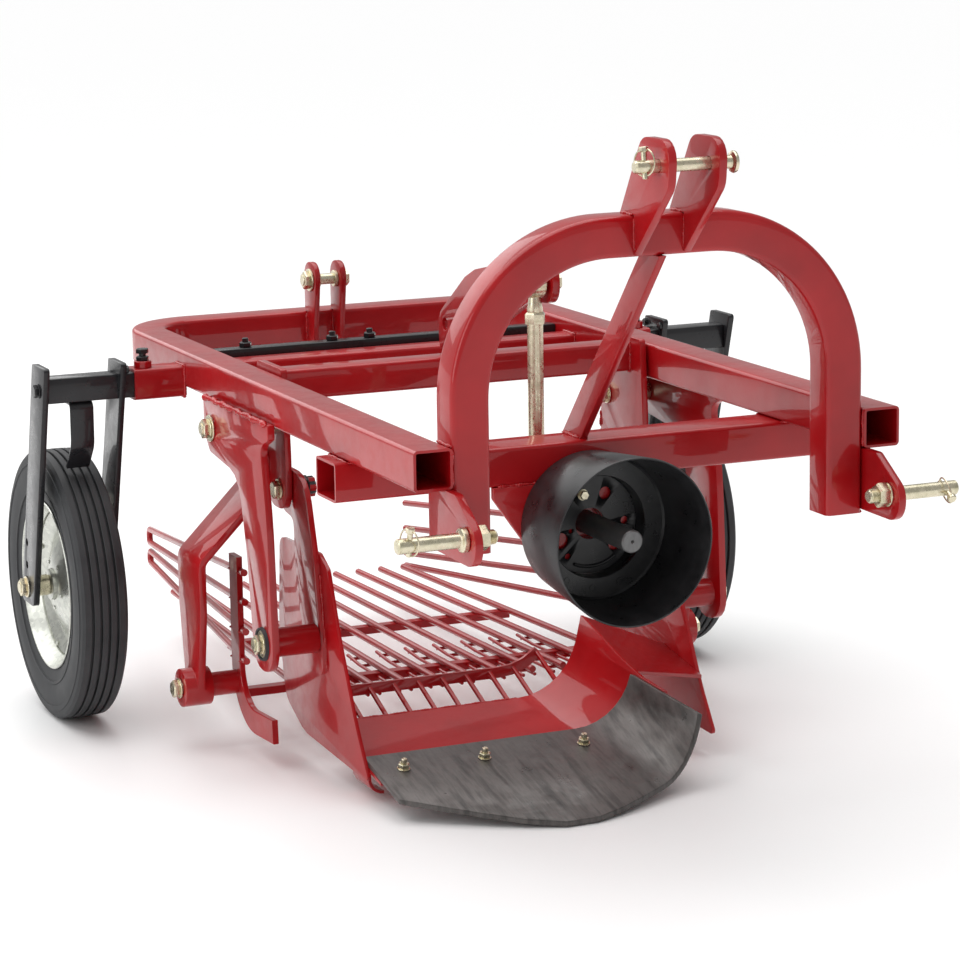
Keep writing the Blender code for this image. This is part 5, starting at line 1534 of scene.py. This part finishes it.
@dataclass
class Sieve:
    """Rod bed, side rods and their frames, hung on two pins."""

    pin_y: float = 0.840
    pin_z: float = 0.107
    rod: float = 0.0060
    front_half: float = 0.375
    rear_half: float = 0.262
    rear_y: float = 1.650
    side_z: tuple[float, ...] = (0.150, 0.200, 0.250, 0.300)
    left_rear_z: tuple[float, ...] = (0.075, 0.100, 0.150, 0.200)
    right_rear_z: tuple[float, ...] = (0.136, 0.158, 0.174, 0.200)
    hairpin: float = 0.010
    bed_rods: int = 11
    bed_front: tuple[float, float, float] = (0.722, 0.098, 0.284)
    bed_rear: tuple[float, float, float] = (1.600, 0.085, 0.235)
    frame_w: float = 0.040
    frame_t: float = 0.010
    strap_x: float = 0.446

    def bed_point(self, share: float, y: float) -> Vector:
        """A place on the bed.

        Args:
            share: From -1 at the right edge to 1 at the left one.
            y: Its place behind the frame's front ends.

        Returns:
            The place on the rods' centre lines.
        """
        y0, z0, half0 = self.bed_front
        y1, z1, half1 = self.bed_rear
        t = (y - y0) / (y1 - y0)
        return at((half0 + (half1 - half0) * t) * share, y, z0 + (z1 - z0) * t)

    def bar(self, shape: bmesh.types.BMesh, path: Sequence[Vector]) -> None:
        """Round bar with flat closed ends.

        Args:
            shape: Where the faces go.
            path: Points along its middle.
        """
        tube_path(shape, path, self.rod, 12)

    def build(self) -> None:
        """Builds and dresses every piece of the sieve."""
        self.build_bed()
        for side in Side:
            self.build_side(side)
        self.build_welds()

    def build_bed(self) -> None:
        """Long rods with free rear ends over two cross bars, and short strips beneath."""
        shape = bmesh.new()
        half_n = (self.bed_rods - 1) / 2
        for i in range(self.bed_rods):
            share = (i - half_n) / half_n
            low, high = self.bed_point(share, self.bed_front[0]), self.bed_point(share, self.bed_rear[0])
            along = (high - low).normalized()
            tip = [low, low + along * 0.010, high - along * 0.0015, high]
            self.bar(shape, tip)
        finished(from_shape(shape, "sieve_rods"), RED, "sieve", ["sieve_bed"])
        bars = bmesh.new()
        for y in (self.pin_y + 0.010, 1.180):
            middle = self.bed_point(0, y)
            low = middle.z - self.rod * 0.8 - 0.008
            half = self.front_half - self.frame_t - 0.0003 if y < 1 else self.bed_point(1, y).x + 0.012
            path = [Vector((-half, middle.y, low + 0.001)), Vector((half, middle.y, low + 0.001))]
            section = flat_section(0.010, 0.007, 0.0008)
            skin(bars, [[point + Vector((0, a, b)) for a, b in section] for point in path])
        finished(from_shape(bars, "sieve_cross_bars"), RED, "sieve")
        strips = bmesh.new()
        for i in range(1, self.bed_rods - 1):
            share = (i - half_n) / half_n
            for offset in (-0.0105, 0.0105):
                points = []
                for y, drop in ((0.736, 0.0130), (0.800, 0.0120), (0.930, 0.0110), (0.990, 0.0065)):
                    points.append(self.bed_point(share, y) + Vector((offset, 0, -drop)))
                tube_path(strips, points, 0.0030, 8)
            for y in (0.760, 0.820, 0.920, 0.975):
                middle = self.bed_point(share, y) + Vector((0, 0, -0.0105))
                ends = [middle + Axis.X.value * reach for reach in (-0.0110, 0.0110)]
                tube_path(strips, ends, 0.0028, 8)
        finished(from_shape(strips, "sieve_front_strips"), RED, "sieve")

    def build_side(self, side: Side) -> None:
        """Hooked flat bar with its four rods and the pivot pin; hairpins join the right ones.

        Args:
            side: The side that it stands on.
        """
        s = side.value
        outer = self.front_half
        inner = outer - self.frame_t
        x = (outer + inner) / 2
        path = arc_corners(
            [
                (at(s * x, self.pin_y, self.side_z[-1] + 0.022), 0.0),
                (at(s * x, self.pin_y, 0.052), 0.085),
                (at(s * x, self.bed_front[0] - 0.055, 0.062), 0.0),
            ],
            5.0,
        )
        shape = bmesh.new()
        section = flat_section(self.frame_t / 2, self.frame_w / 2, 0.0012)
        rings = []
        for i, point in enumerate(path):
            before = path[max(0, i - 1)]
            after = path[min(len(path) - 1, i + 1)]
            tangent = (after - before).normalized()
            across = tangent.cross(Axis.X.value).normalized()
            rings.append([point + Axis.X.value * u + across * v for u, v in section])
        skin(shape, rings)
        start = self.pin_y - self.frame_w / 2 - 0.022
        rear_z = self.left_rear_z if side is Side.LEFT else self.right_rear_z
        fronts = [at(s * x, start, z) for z in self.side_z]
        rears = [at(s * self.rear_half, self.rear_y, z) for z in rear_z]
        if side is Side.LEFT:
            for first, last in zip(fronts, rears):
                along = (last - first).normalized()
                self.bar(shape, [first, first + along * 0.010, last - along * 0.010, last])
        else:
            for k in (0, 2):
                corners = [(fronts[k + 1], 0.0), (rears[k + 1], self.hairpin)]
                corners += [(rears[k], self.hairpin), (fronts[k], 0.0)]
                self.bar(shape, arc_corners(corners, 12.0))
        low = at(s * (inner + 0.001), self.pin_y, self.pin_z)
        boss = self.strap_x - 0.0235 - inner
        disc(shape, low, Axis.X.value * s, 0.0200, boss, 36, 0.001)
        node = f"sieve_side_{side.word}"
        finished(from_shape(shape, node + "_painted"), RED, "sieve", [node])
        pin = bmesh.new()
        out = Axis.X.value * s
        disc(pin, low, out, 0.0098, self.strap_x + 0.0275 - inner + 0.004, 28)
        disc(pin, at(s * (self.strap_x + 0.0276), self.pin_y, self.pin_z), out, 0.0170, 0.0028, 36)
        hexagon(pin, at(s * (self.strap_x + 0.0304), self.pin_y, self.pin_z), out, 0.0260, 0.0105)
        finished(from_shape(pin, f"sieve_pivot_bolt_{side.word}"), ZINC, "sieve")

    def build_welds(self) -> None:
        """Beads where the side rods meet their flat bars."""
        beads = []
        for side in Side:
            s = side.value
            x = s * (self.front_half - self.frame_t / 2)
            for z in self.side_z:
                for edge in (-self.frame_w / 2 - 0.0005, self.frame_w / 2 + 0.0005):
                    y = self.pin_y + edge
                    line = [at(x - 0.007, y, z - 0.004), at(x + 0.007, y, z - 0.004)]
                    beads.append(WeldBead(line, 0.0060, 0.0044, 0.0004, z * 40))
        weld_piece("sieve_welds", "sieve", beads)


@dataclass
class RearClevis:
    """Two ears and a bolt on the rear bar."""

    rear: float = 1.386
    tube: float = 0.060
    frame_top: float = 0.639
    frame_bottom: float = 0.579
    middle: float = -0.012
    ear_x: float = 0.025
    ear_t: float = 0.010
    ear_r: float = 0.032
    pin_rise: float = 0.060

    def build(self) -> None:
        """Builds the ears, their bolt, its washers and the beads."""
        face = self.rear - self.tube / 2 - 0.0003
        pin_z = self.frame_top + self.pin_rise
        y = face - 0.022
        top = pin_z + self.ear_r
        outline = rounded_outline([
            (face, self.frame_bottom, 0),
            (face, self.frame_top + 0.0003, 0),
            (face + 0.010, self.frame_top + 0.0003, 0),
            (y + self.ear_r, top, self.ear_r - 0.005),
            (y - self.ear_r, top, self.ear_r - 0.005),
            (face - 0.030, self.frame_bottom, 0.004),
        ])
        half = self.ear_x + self.ear_t / 2
        left_out, right_out = self.middle + half, self.middle - half
        left = plate("rear_clevis_ear_left", outline, left_out - self.ear_t, left_out, edge=0.0014)
        finished(left, RED, "frame", ["rear_clevis"])
        right = plate("rear_clevis_ear_right", outline, right_out, right_out + self.ear_t, edge=0.0014)
        finished(right, RED, "frame")
        shape = bmesh.new()
        out = Axis.X.value
        disc(shape, at(right_out - 0.016, y, pin_z), out, 0.0098, 2 * half + 0.026, 28)
        disc(shape, at(right_out - 0.0003, y, pin_z), -out, 0.0205, 0.0036, 40)
        hexagon(shape, at(right_out - 0.0039, y, pin_z), -out, 0.0280, 0.0105)
        disc(shape, at(left_out + 0.0003, y, pin_z), out, 0.0180, 0.0026, 36)
        hexagon(shape, at(left_out + 0.0029, y, pin_z), out, 0.0260, 0.0090)
        disc(shape, at(right_out + self.ear_t + 0.0003, y, pin_z), out, 0.0150, 0.0060, 32)
        disc(shape, at(left_out - self.ear_t - 0.0063, y, pin_z), out, 0.0150, 0.0060, 32)
        finished(from_shape(shape, "rear_clevis_bolt"), ZINC, "frame")
        beads = []
        low_z, high_z = self.frame_bottom + 0.004, self.frame_top - 0.004
        for x in (right_out, right_out + self.ear_t, left_out - self.ear_t, left_out):
            line = [at(x, face + 0.0008, low_z), at(x, face + 0.0008, high_z)]
            beads.append(WeldBead(line, 0.0056, 0.0042, 0.0006, x * 77))
        weld_piece("rear_clevis_welds", "frame", beads)


@dataclass
class WheelGear:
    """Beam, sockets, forks, scrapers and the two wheels."""

    beam_y: float = 1.032
    beam_z: float = 0.590
    socket: float = 0.052
    socket_end: float = 0.480
    beam: float = 0.042
    wheel_x: float = 0.571
    wheel_y: float = 1.152
    wheel_z: float = 0.232
    tyre_w: float = 0.088
    rim_r: float = 0.153
    rim_w: float = 0.074
    fork_out: float = 0.640
    fork_in: float = 0.498
    fork_t: float = 0.010
    axle_r: float = 0.010
    ribs: int = 5

    def build(self) -> None:
        """Builds and dresses the beam and everything that it carries."""
        self.build_beams()
        for side in Side:
            self.build_fork(side)
            self.build_axle(side)
            self.build_tyre(side)
            self.build_rim(side)

    def build_beams(self) -> None:
        """Cross tube, sockets with their clamp bolts, black beams and tie bar."""
        span = 0.3317
        path = [at(-span, self.beam_y, self.beam_z), at(span, self.beam_y, self.beam_z)]
        tube = BoxTube("wheel_cross_tube_painted", path, Axis.Z.value, self.socket, self.socket, 0.0045)
        finished(tube.build(), RED, "frame", ["wheel_cross_tube"])
        beads = []
        for side in Side:
            s = side.value
            ends = [at(s * x, self.beam_y, self.beam_z) for x in (0.3923, self.socket_end)]
            node = f"wheel_beam_socket_{side.word}"
            socket = BoxTube(node + "_painted", ends, Axis.Z.value, self.socket, self.socket, 0.0045)
            finished(socket.build(), RED, "frame", [node])
            painted(f"wheel_beam_{side.word}", BLACK, edge=0.0030, steps=3)
            self.build_clamp(side)
            half = self.socket / 2
            ring = [(-half, half), (half, half), (half, -half), (-half, -half)]
            for (a, b), (c, d) in zip(ring, ring[1:] + ring[:1]):
                for x in (0.3928, 0.3312):
                    edge = ((a, b), (c, d))
                    line = [at(s * x, self.beam_y + dy, self.beam_z + dz) for dy, dz in edge]
                    beads.append(WeldBead(line, 0.0056, 0.0042, 0.0006, x * 9 + a * 90 + s))
        weld_piece("wheel_beam_welds", "frame", beads)
        painted("rear_tie_bar", BLACK, edge=0.0020)
        fittings = bmesh.new()
        for x in (-0.090, -0.020, 0.150, -0.250):
            hexagon(fittings, at(x, self.beam_y + 0.071, self.beam_z + 0.0345), Axis.Z.value, 0.0190, 0.0085)
            disc(fittings, at(x, self.beam_y + 0.071, self.beam_z + 0.0430), Axis.Z.value, 0.0055, 0.0070, 20)
        finished(from_shape(fittings, "tie_bar_bolts"), BLACK, "frame")

    def build_clamp(self, side: Side) -> None:
        """Boss, clamp bolt and lock nut on top of a socket.

        Args:
            side: The side that it sits on.
        """
        s = side.value
        top = self.beam_z + self.socket / 2
        shape = bmesh.new()
        seat = at(s * 0.459, self.beam_y - 0.004, top - 0.0004)
        disc(shape, seat, Axis.Z.value, 0.0150, 0.0120, 32, 0.0010)
        finished(from_shape(shape, f"socket_boss_{side.word}"), RED, "frame")
        bolt = bmesh.new()
        hexagon(bolt, seat + Vector((0, 0, 0.0122)), Axis.Z.value, 0.0190, 0.0075)
        hexagon(bolt, seat + Vector((0, 0, 0.0245)), Axis.Z.value, 0.0190, 0.0080)
        disc(bolt, seat + Vector((0, 0, 0.0150)), Axis.Z.value, 0.0060, 0.0120, 20)
        finished(from_shape(bolt, f"socket_clamp_bolt_{side.word}"), BLACK, "frame")

    def build_fork(self, side: Side) -> None:
        """Fork plates, their top bolts and the scraper.

        Args:
            side: The side that it stands on.
        """
        s = side.value
        out = Axis.X.value * s
        for node in ("fork_plate_outer", "fork_plate_inner", "wheel_scraper"):
            painted(f"{node}_{side.word}", BLACK)
        shape = bmesh.new()
        centre = at(s * (self.fork_out + 0.0003), self.beam_y - 0.004, self.beam_z)
        disc(shape, centre, out, 0.0125, 0.0018, 32, 0.0004)
        hexagon(shape, centre + out * 0.0018, out, 0.0190, 0.0072)
        for dy in (-0.032, 0.028):
            seat = at(s * (self.fork_in - 0.0003), self.beam_y + dy, self.beam_z + 0.029)
            hexagon(shape, seat, -out, 0.0120, 0.0050)
        finished(from_shape(shape, f"fork_bolts_{side.word}"), BLACK, "frame")
        bolt = bmesh.new()
        seat = at(s * self.wheel_x, self.beam_y + 0.001, self.beam_z - self.beam / 2 - 0.0066)
        disc(bolt, seat, -Axis.Z.value, 0.0090, 0.0014, 28, 0.0003)
        hexagon(bolt, seat - Vector((0, 0, 0.0014)), -Axis.Z.value, 0.0130, 0.0062)
        finished(from_shape(bolt, f"scraper_bolt_{side.word}"), ZINC, "frame")

    def build_axle(self, side: Side) -> None:
        """Axle bolt with its head, nut and hub spacers.

        Args:
            side: The side that it stands on.
        """
        s = side.value
        out = Axis.X.value * s
        shape = bmesh.new()
        here = (self.wheel_y, self.wheel_z)
        disc(shape, at(s * (self.fork_in - 0.018), *here), out, self.axle_r - 0.0002, 0.1745, 28)
        disc(shape, at(s * (self.fork_out + 0.0003), *here), out, 0.0185, 0.0026, 36)
        hexagon(shape, at(s * (self.fork_out + 0.0029), *here), out, 0.0270, 0.0100)
        disc(shape, at(s * (self.fork_in - 0.0003), *here), -out, 0.0180, 0.0024, 36)
        hexagon(shape, at(s * (self.fork_in - 0.0027), *here), -out, 0.0270, 0.0095)
        hub_half = 0.031
        spans = (
            (self.fork_in + self.fork_t + 0.0003, self.wheel_x - hub_half - 0.001),
            (self.wheel_x + hub_half + 0.001, self.fork_out - self.fork_t - 0.0003),
        )
        for low, high in spans:
            disc(shape, at(s * low, *here), out, 0.0178, high - low, 40, 0.0012)
        node = f"wheel_axle_{side.word}"
        finished(from_shape(shape, node + "_plated"), ZINC, "frame", [node])

    def build_tyre(self, side: Side) -> None:
        """Ribbed tyre with stepped sidewalls.

        Args:
            side: The side that it stands on.
        """
        half = self.tyre_w / 2
        radius = self.wheel_z
        bead = self.rim_r - 0.0080
        tread = half - 0.0085
        groove, depth, inset = 0.0042, 0.0060, 0.0009
        crown: list[tuple[float, float]] = []
        pitch = 2 * tread / self.ribs
        for k in range(self.ribs):
            left = -tread + pitch * k + (groove / 2 if k else 0.0)
            right = -tread + pitch * (k + 1) - (groove / 2 if k < self.ribs - 1 else 0.0)
            for a in (left, right):
                bow = 0.0020 * (a / tread) ** 2
                if a == left:
                    if k:
                        crown.append((a, radius - depth - bow))
                    crown.append((a, radius - inset - bow))
                    crown.append((a + inset, radius - bow))
                else:
                    crown.append((a - inset, radius - bow))
                    crown.append((a, radius - inset - bow))
                    if k < self.ribs - 1:
                        crown.append((a, radius - depth - bow))
        wall = [
            (tread + 0.0035, radius - 0.0065), (tread + 0.0052, radius - 0.0120),
            (tread + 0.0054, radius - 0.0135),
            (half - 0.0018, radius - 0.0140), (half - 0.0006, radius - 0.0230),
            (half - 0.0022, radius - 0.0238),
            (half - 0.0010, radius - 0.0330), (half - 0.0020, radius - 0.0480),
            (half - 0.0044, radius - 0.0600),
            (half - 0.0030, radius - 0.0606), (half - 0.0034, radius - 0.0650),
            (half - 0.0058, radius - 0.0656),
            (half - 0.0085, bead + 0.0060), (half - 0.0105, bead + 0.0008),
        ]
        profile = [(-a, r) for a, r in reversed(wall)] + crown + wall
        shape = bmesh.new()
        centre = at(side.value * self.wheel_x, self.wheel_y, self.wheel_z)
        lathe(shape, profile, centre, Axis.X, 120, closed=True)
        node = f"tyre_{side.word}"
        finished(from_shape(shape, node + "_moulded", 24.0), RUBBER, f"wheel_{side.word}", [node])

    def build_rim(self, side: Side) -> None:
        """Pressed rim with a dished disc, rolled lips, rivets and a hub.

        Args:
            side: The side that it stands on.
        """
        s = side.value
        seat = self.rim_r - 0.0083
        lip = self.rim_w / 2
        centre = at(s * self.wheel_x, self.wheel_y, self.wheel_z)
        barrel = [
            (-lip + 0.004, seat), (-lip + 0.0015, seat + 0.0012), (-lip, seat + 0.0002),
            (-lip + 0.0006, seat - 0.0018),
            (-lip + 0.0060, seat - 0.0048), (-0.0150, seat - 0.0160), (-0.0120, seat - 0.0185),
            (0.0120, seat - 0.0185),
            (0.0150, seat - 0.0160), (lip - 0.0060, seat - 0.0048), (lip - 0.0006, seat - 0.0018),
            (lip, seat + 0.0002),
            (lip - 0.0015, seat + 0.0012), (lip - 0.004, seat), (lip - 0.0100, seat - 0.0030),
            (0.0160, seat - 0.0140),
            (0.0125, seat - 0.0162), (-0.0125, seat - 0.0162), (-0.0160, seat - 0.0140),
            (-lip + 0.0100, seat - 0.0030),
        ]
        shape = bmesh.new()
        lathe(shape, barrel, centre, Axis.X, 120, closed=True)
        dish = [
            (0.0060, seat - 0.0183), (0.0088, seat - 0.0200), (0.0060, seat - 0.0260),
            (0.0005, seat - 0.0340),
            (-0.0040, seat - 0.0430), (-0.0030, seat - 0.0520), (0.0060, 0.0780), (0.0150, 0.0600),
            (0.0215, 0.0430),
            (0.0232, 0.0350), (0.0236, 0.0275), (0.0210, 0.0273), (0.0206, 0.0340), (0.0190, 0.0420),
            (0.0126, 0.0590), (0.0034, 0.0775), (-0.0056, seat - 0.0515), (-0.0066, seat - 0.0440),
            (-0.0020, seat - 0.0330), (0.0036, seat - 0.0245), (0.0050, seat - 0.0205),
            (0.0036, seat - 0.0183),
        ]
        lathe(shape, [(s * a, r) for a, r in dish], centre, Axis.X, 120, closed=True)
        hub = [
            (-0.0310, 0.0104), (-0.0310, 0.0250), (-0.0300, 0.0265), (0.0300, 0.0265),
            (0.0310, 0.0250), (0.0310, 0.0104),
        ]
        lathe(shape, [(s * a, r) for a, r in hub], centre, Axis.X, 56, closed=True)
        finished(
            from_shape(shape, f"wheel_rim_{side.word}_pressed", 34.0), GALVANISED, f"wheel_{side.word}",
            [f"wheel_rim_{side.word}"],
        )
        rivets = bmesh.new()
        for k in range(4):
            angle = math.radians(20 + 90 * k)
            reach = seat - 0.0215
            spot = centre + Vector((s * 0.0070, math.cos(angle) * reach, math.sin(angle) * reach))
            disc(rivets, spot, Axis.X.value * s, 0.0056, 0.0042, 24, 0.0016)
        for k in range(5):
            angle = math.radians(54 + 72 * k)
            spot = centre + Vector((s * 0.0205, math.cos(angle) * 0.0415, math.sin(angle) * 0.0415))
            disc(rivets, spot, Axis.X.value * s, 0.0044, 0.0034, 20, 0.0012)
        finished(from_shape(rivets, f"rim_rivets_{side.word}"), GALVANISED, f"wheel_{side.word}")


# ------------------------------------------------------------------ studio
@dataclass
class Studio:
    """Pale floor, soft lights and the camera."""

    eye: tuple[float, float, float] = (-2.066, -4.102, 1.480)
    yaw_deg: float = 23.4
    pitch_deg: float = 11.27
    roll_deg: float = -0.86
    lens: float = 121.07
    sensor: float = 36.0
    floor_size: float = 90.0

    def build(self) -> None:
        """Builds the floor, the world, the lights and the camera."""
        self.build_floor()
        self.build_world()
        self.build_lights()
        self.build_camera()

    def build_floor(self) -> None:
        """Plain white floor that runs out of sight."""
        shape = bmesh.new()
        half = self.floor_size / 2
        corners = ((-half, -half), (half, -half), (half, half), (-half, half))
        shape.faces.new([shape.verts.new(Vector((x, y, -0.0006))) for x, y in corners])
        mesh = bpy.data.meshes.new("studio_floor")
        shape.to_mesh(mesh)
        shape.free()
        floor = placed("studio_floor", mesh)
        made = bpy.data.materials.new("studio_paper")
        made.use_nodes = True
        sheet = NodeSheet(made)
        sheet.put("Base Color", (0.96, 0.96, 0.96, 1.0))
        sheet.put("Roughness", 0.42)
        sheet.put("Specular IOR Level", 0.35)
        mesh.materials.append(made)

    def build_world(self) -> None:
        """Even white surroundings."""
        world = bpy.data.worlds.new("studio_world")
        world.use_nodes = True
        back = world.node_tree.nodes["Background"]
        back.inputs["Color"].default_value = (1.0, 1.0, 1.0, 1.0)
        back.inputs["Strength"].default_value = 0.42
        bpy.context.scene.world = world
        bpy.context.scene.view_settings.view_transform = "Standard"

    def build_lights(self) -> None:
        """Wide soft light from above, and soft panels at the right side and behind."""
        sun = bpy.data.lights.new("soft_top_light", "SUN")
        sun.energy = 2.5
        sun.angle = math.radians(75.0)
        top = placed("soft_top_light", sun)
        top.rotation_mode = "QUATERNION"
        top.rotation_quaternion = Vector((0.10, -0.22, -1.0)).to_track_quat("-Z", "Y")
        panels = (
            ("panel_right", (-4.2, -1.0, 2.0), (0.0, 0.0, 0.4), 2.0, 2.6, 40.0),
            ("panel_behind", (-1.0, 4.4, 2.6), (0.0, 0.2, 0.4), 3.6, 2.4, 40.0),
        )
        for name, place, target, wide, tall, power in panels:
            light = bpy.data.lights.new(name, "AREA")
            light.shape = "RECTANGLE"
            light.size = wide
            light.size_y = tall
            light.energy = power
            obj = placed(name, light)
            obj.location = place
            aim = Vector(target) - Vector(place)
            obj.rotation_mode = "QUATERNION"
            obj.rotation_quaternion = aim.to_track_quat("-Z", "Y")

    def build_camera(self) -> None:
        """Camera in front on the machine's right, looking slightly down."""
        yaw, pitch, roll = (math.radians(a) for a in (self.yaw_deg, self.pitch_deg, self.roll_deg))
        ahead = Vector((math.sin(yaw) * math.cos(pitch), math.cos(yaw) * math.cos(pitch), -math.sin(pitch)))
        flat = Vector((math.cos(yaw), -math.sin(yaw), 0.0))
        up = flat.cross(ahead)
        right = flat * math.cos(roll) + up * math.sin(roll)
        top = up * math.cos(roll) - flat * math.sin(roll)
        turn = Matrix((right, top, -ahead)).transposed()
        data = bpy.data.cameras.new("studio_camera")
        data.sensor_width = self.sensor
        data.lens = self.lens
        data.clip_end = 60.0
        camera = placed("studio_camera", data)
        camera.rotation_mode = "QUATERNION"
        camera.rotation_quaternion = turn.to_quaternion()
        camera.location = at(*self.eye)
        bpy.context.scene.camera = camera


def main() -> None:
    """Builds the digger's sub-assemblies in order, then the studio round them."""
    logging.basicConfig(level=logging.INFO, format="%(name)s: %(message)s", stream=sys.stdout)
    for assembly in (
        CarryingFrame(), Headstock(), Drive(), Rocker(), ConnectingRod(),
        Share(), Sieve(), RearClevis(), WheelGear(),
    ):
        assembly.build()
        log.info("%s is built", type(assembly).__name__)
    Studio().build()


if __name__ == "__main__":
    main()
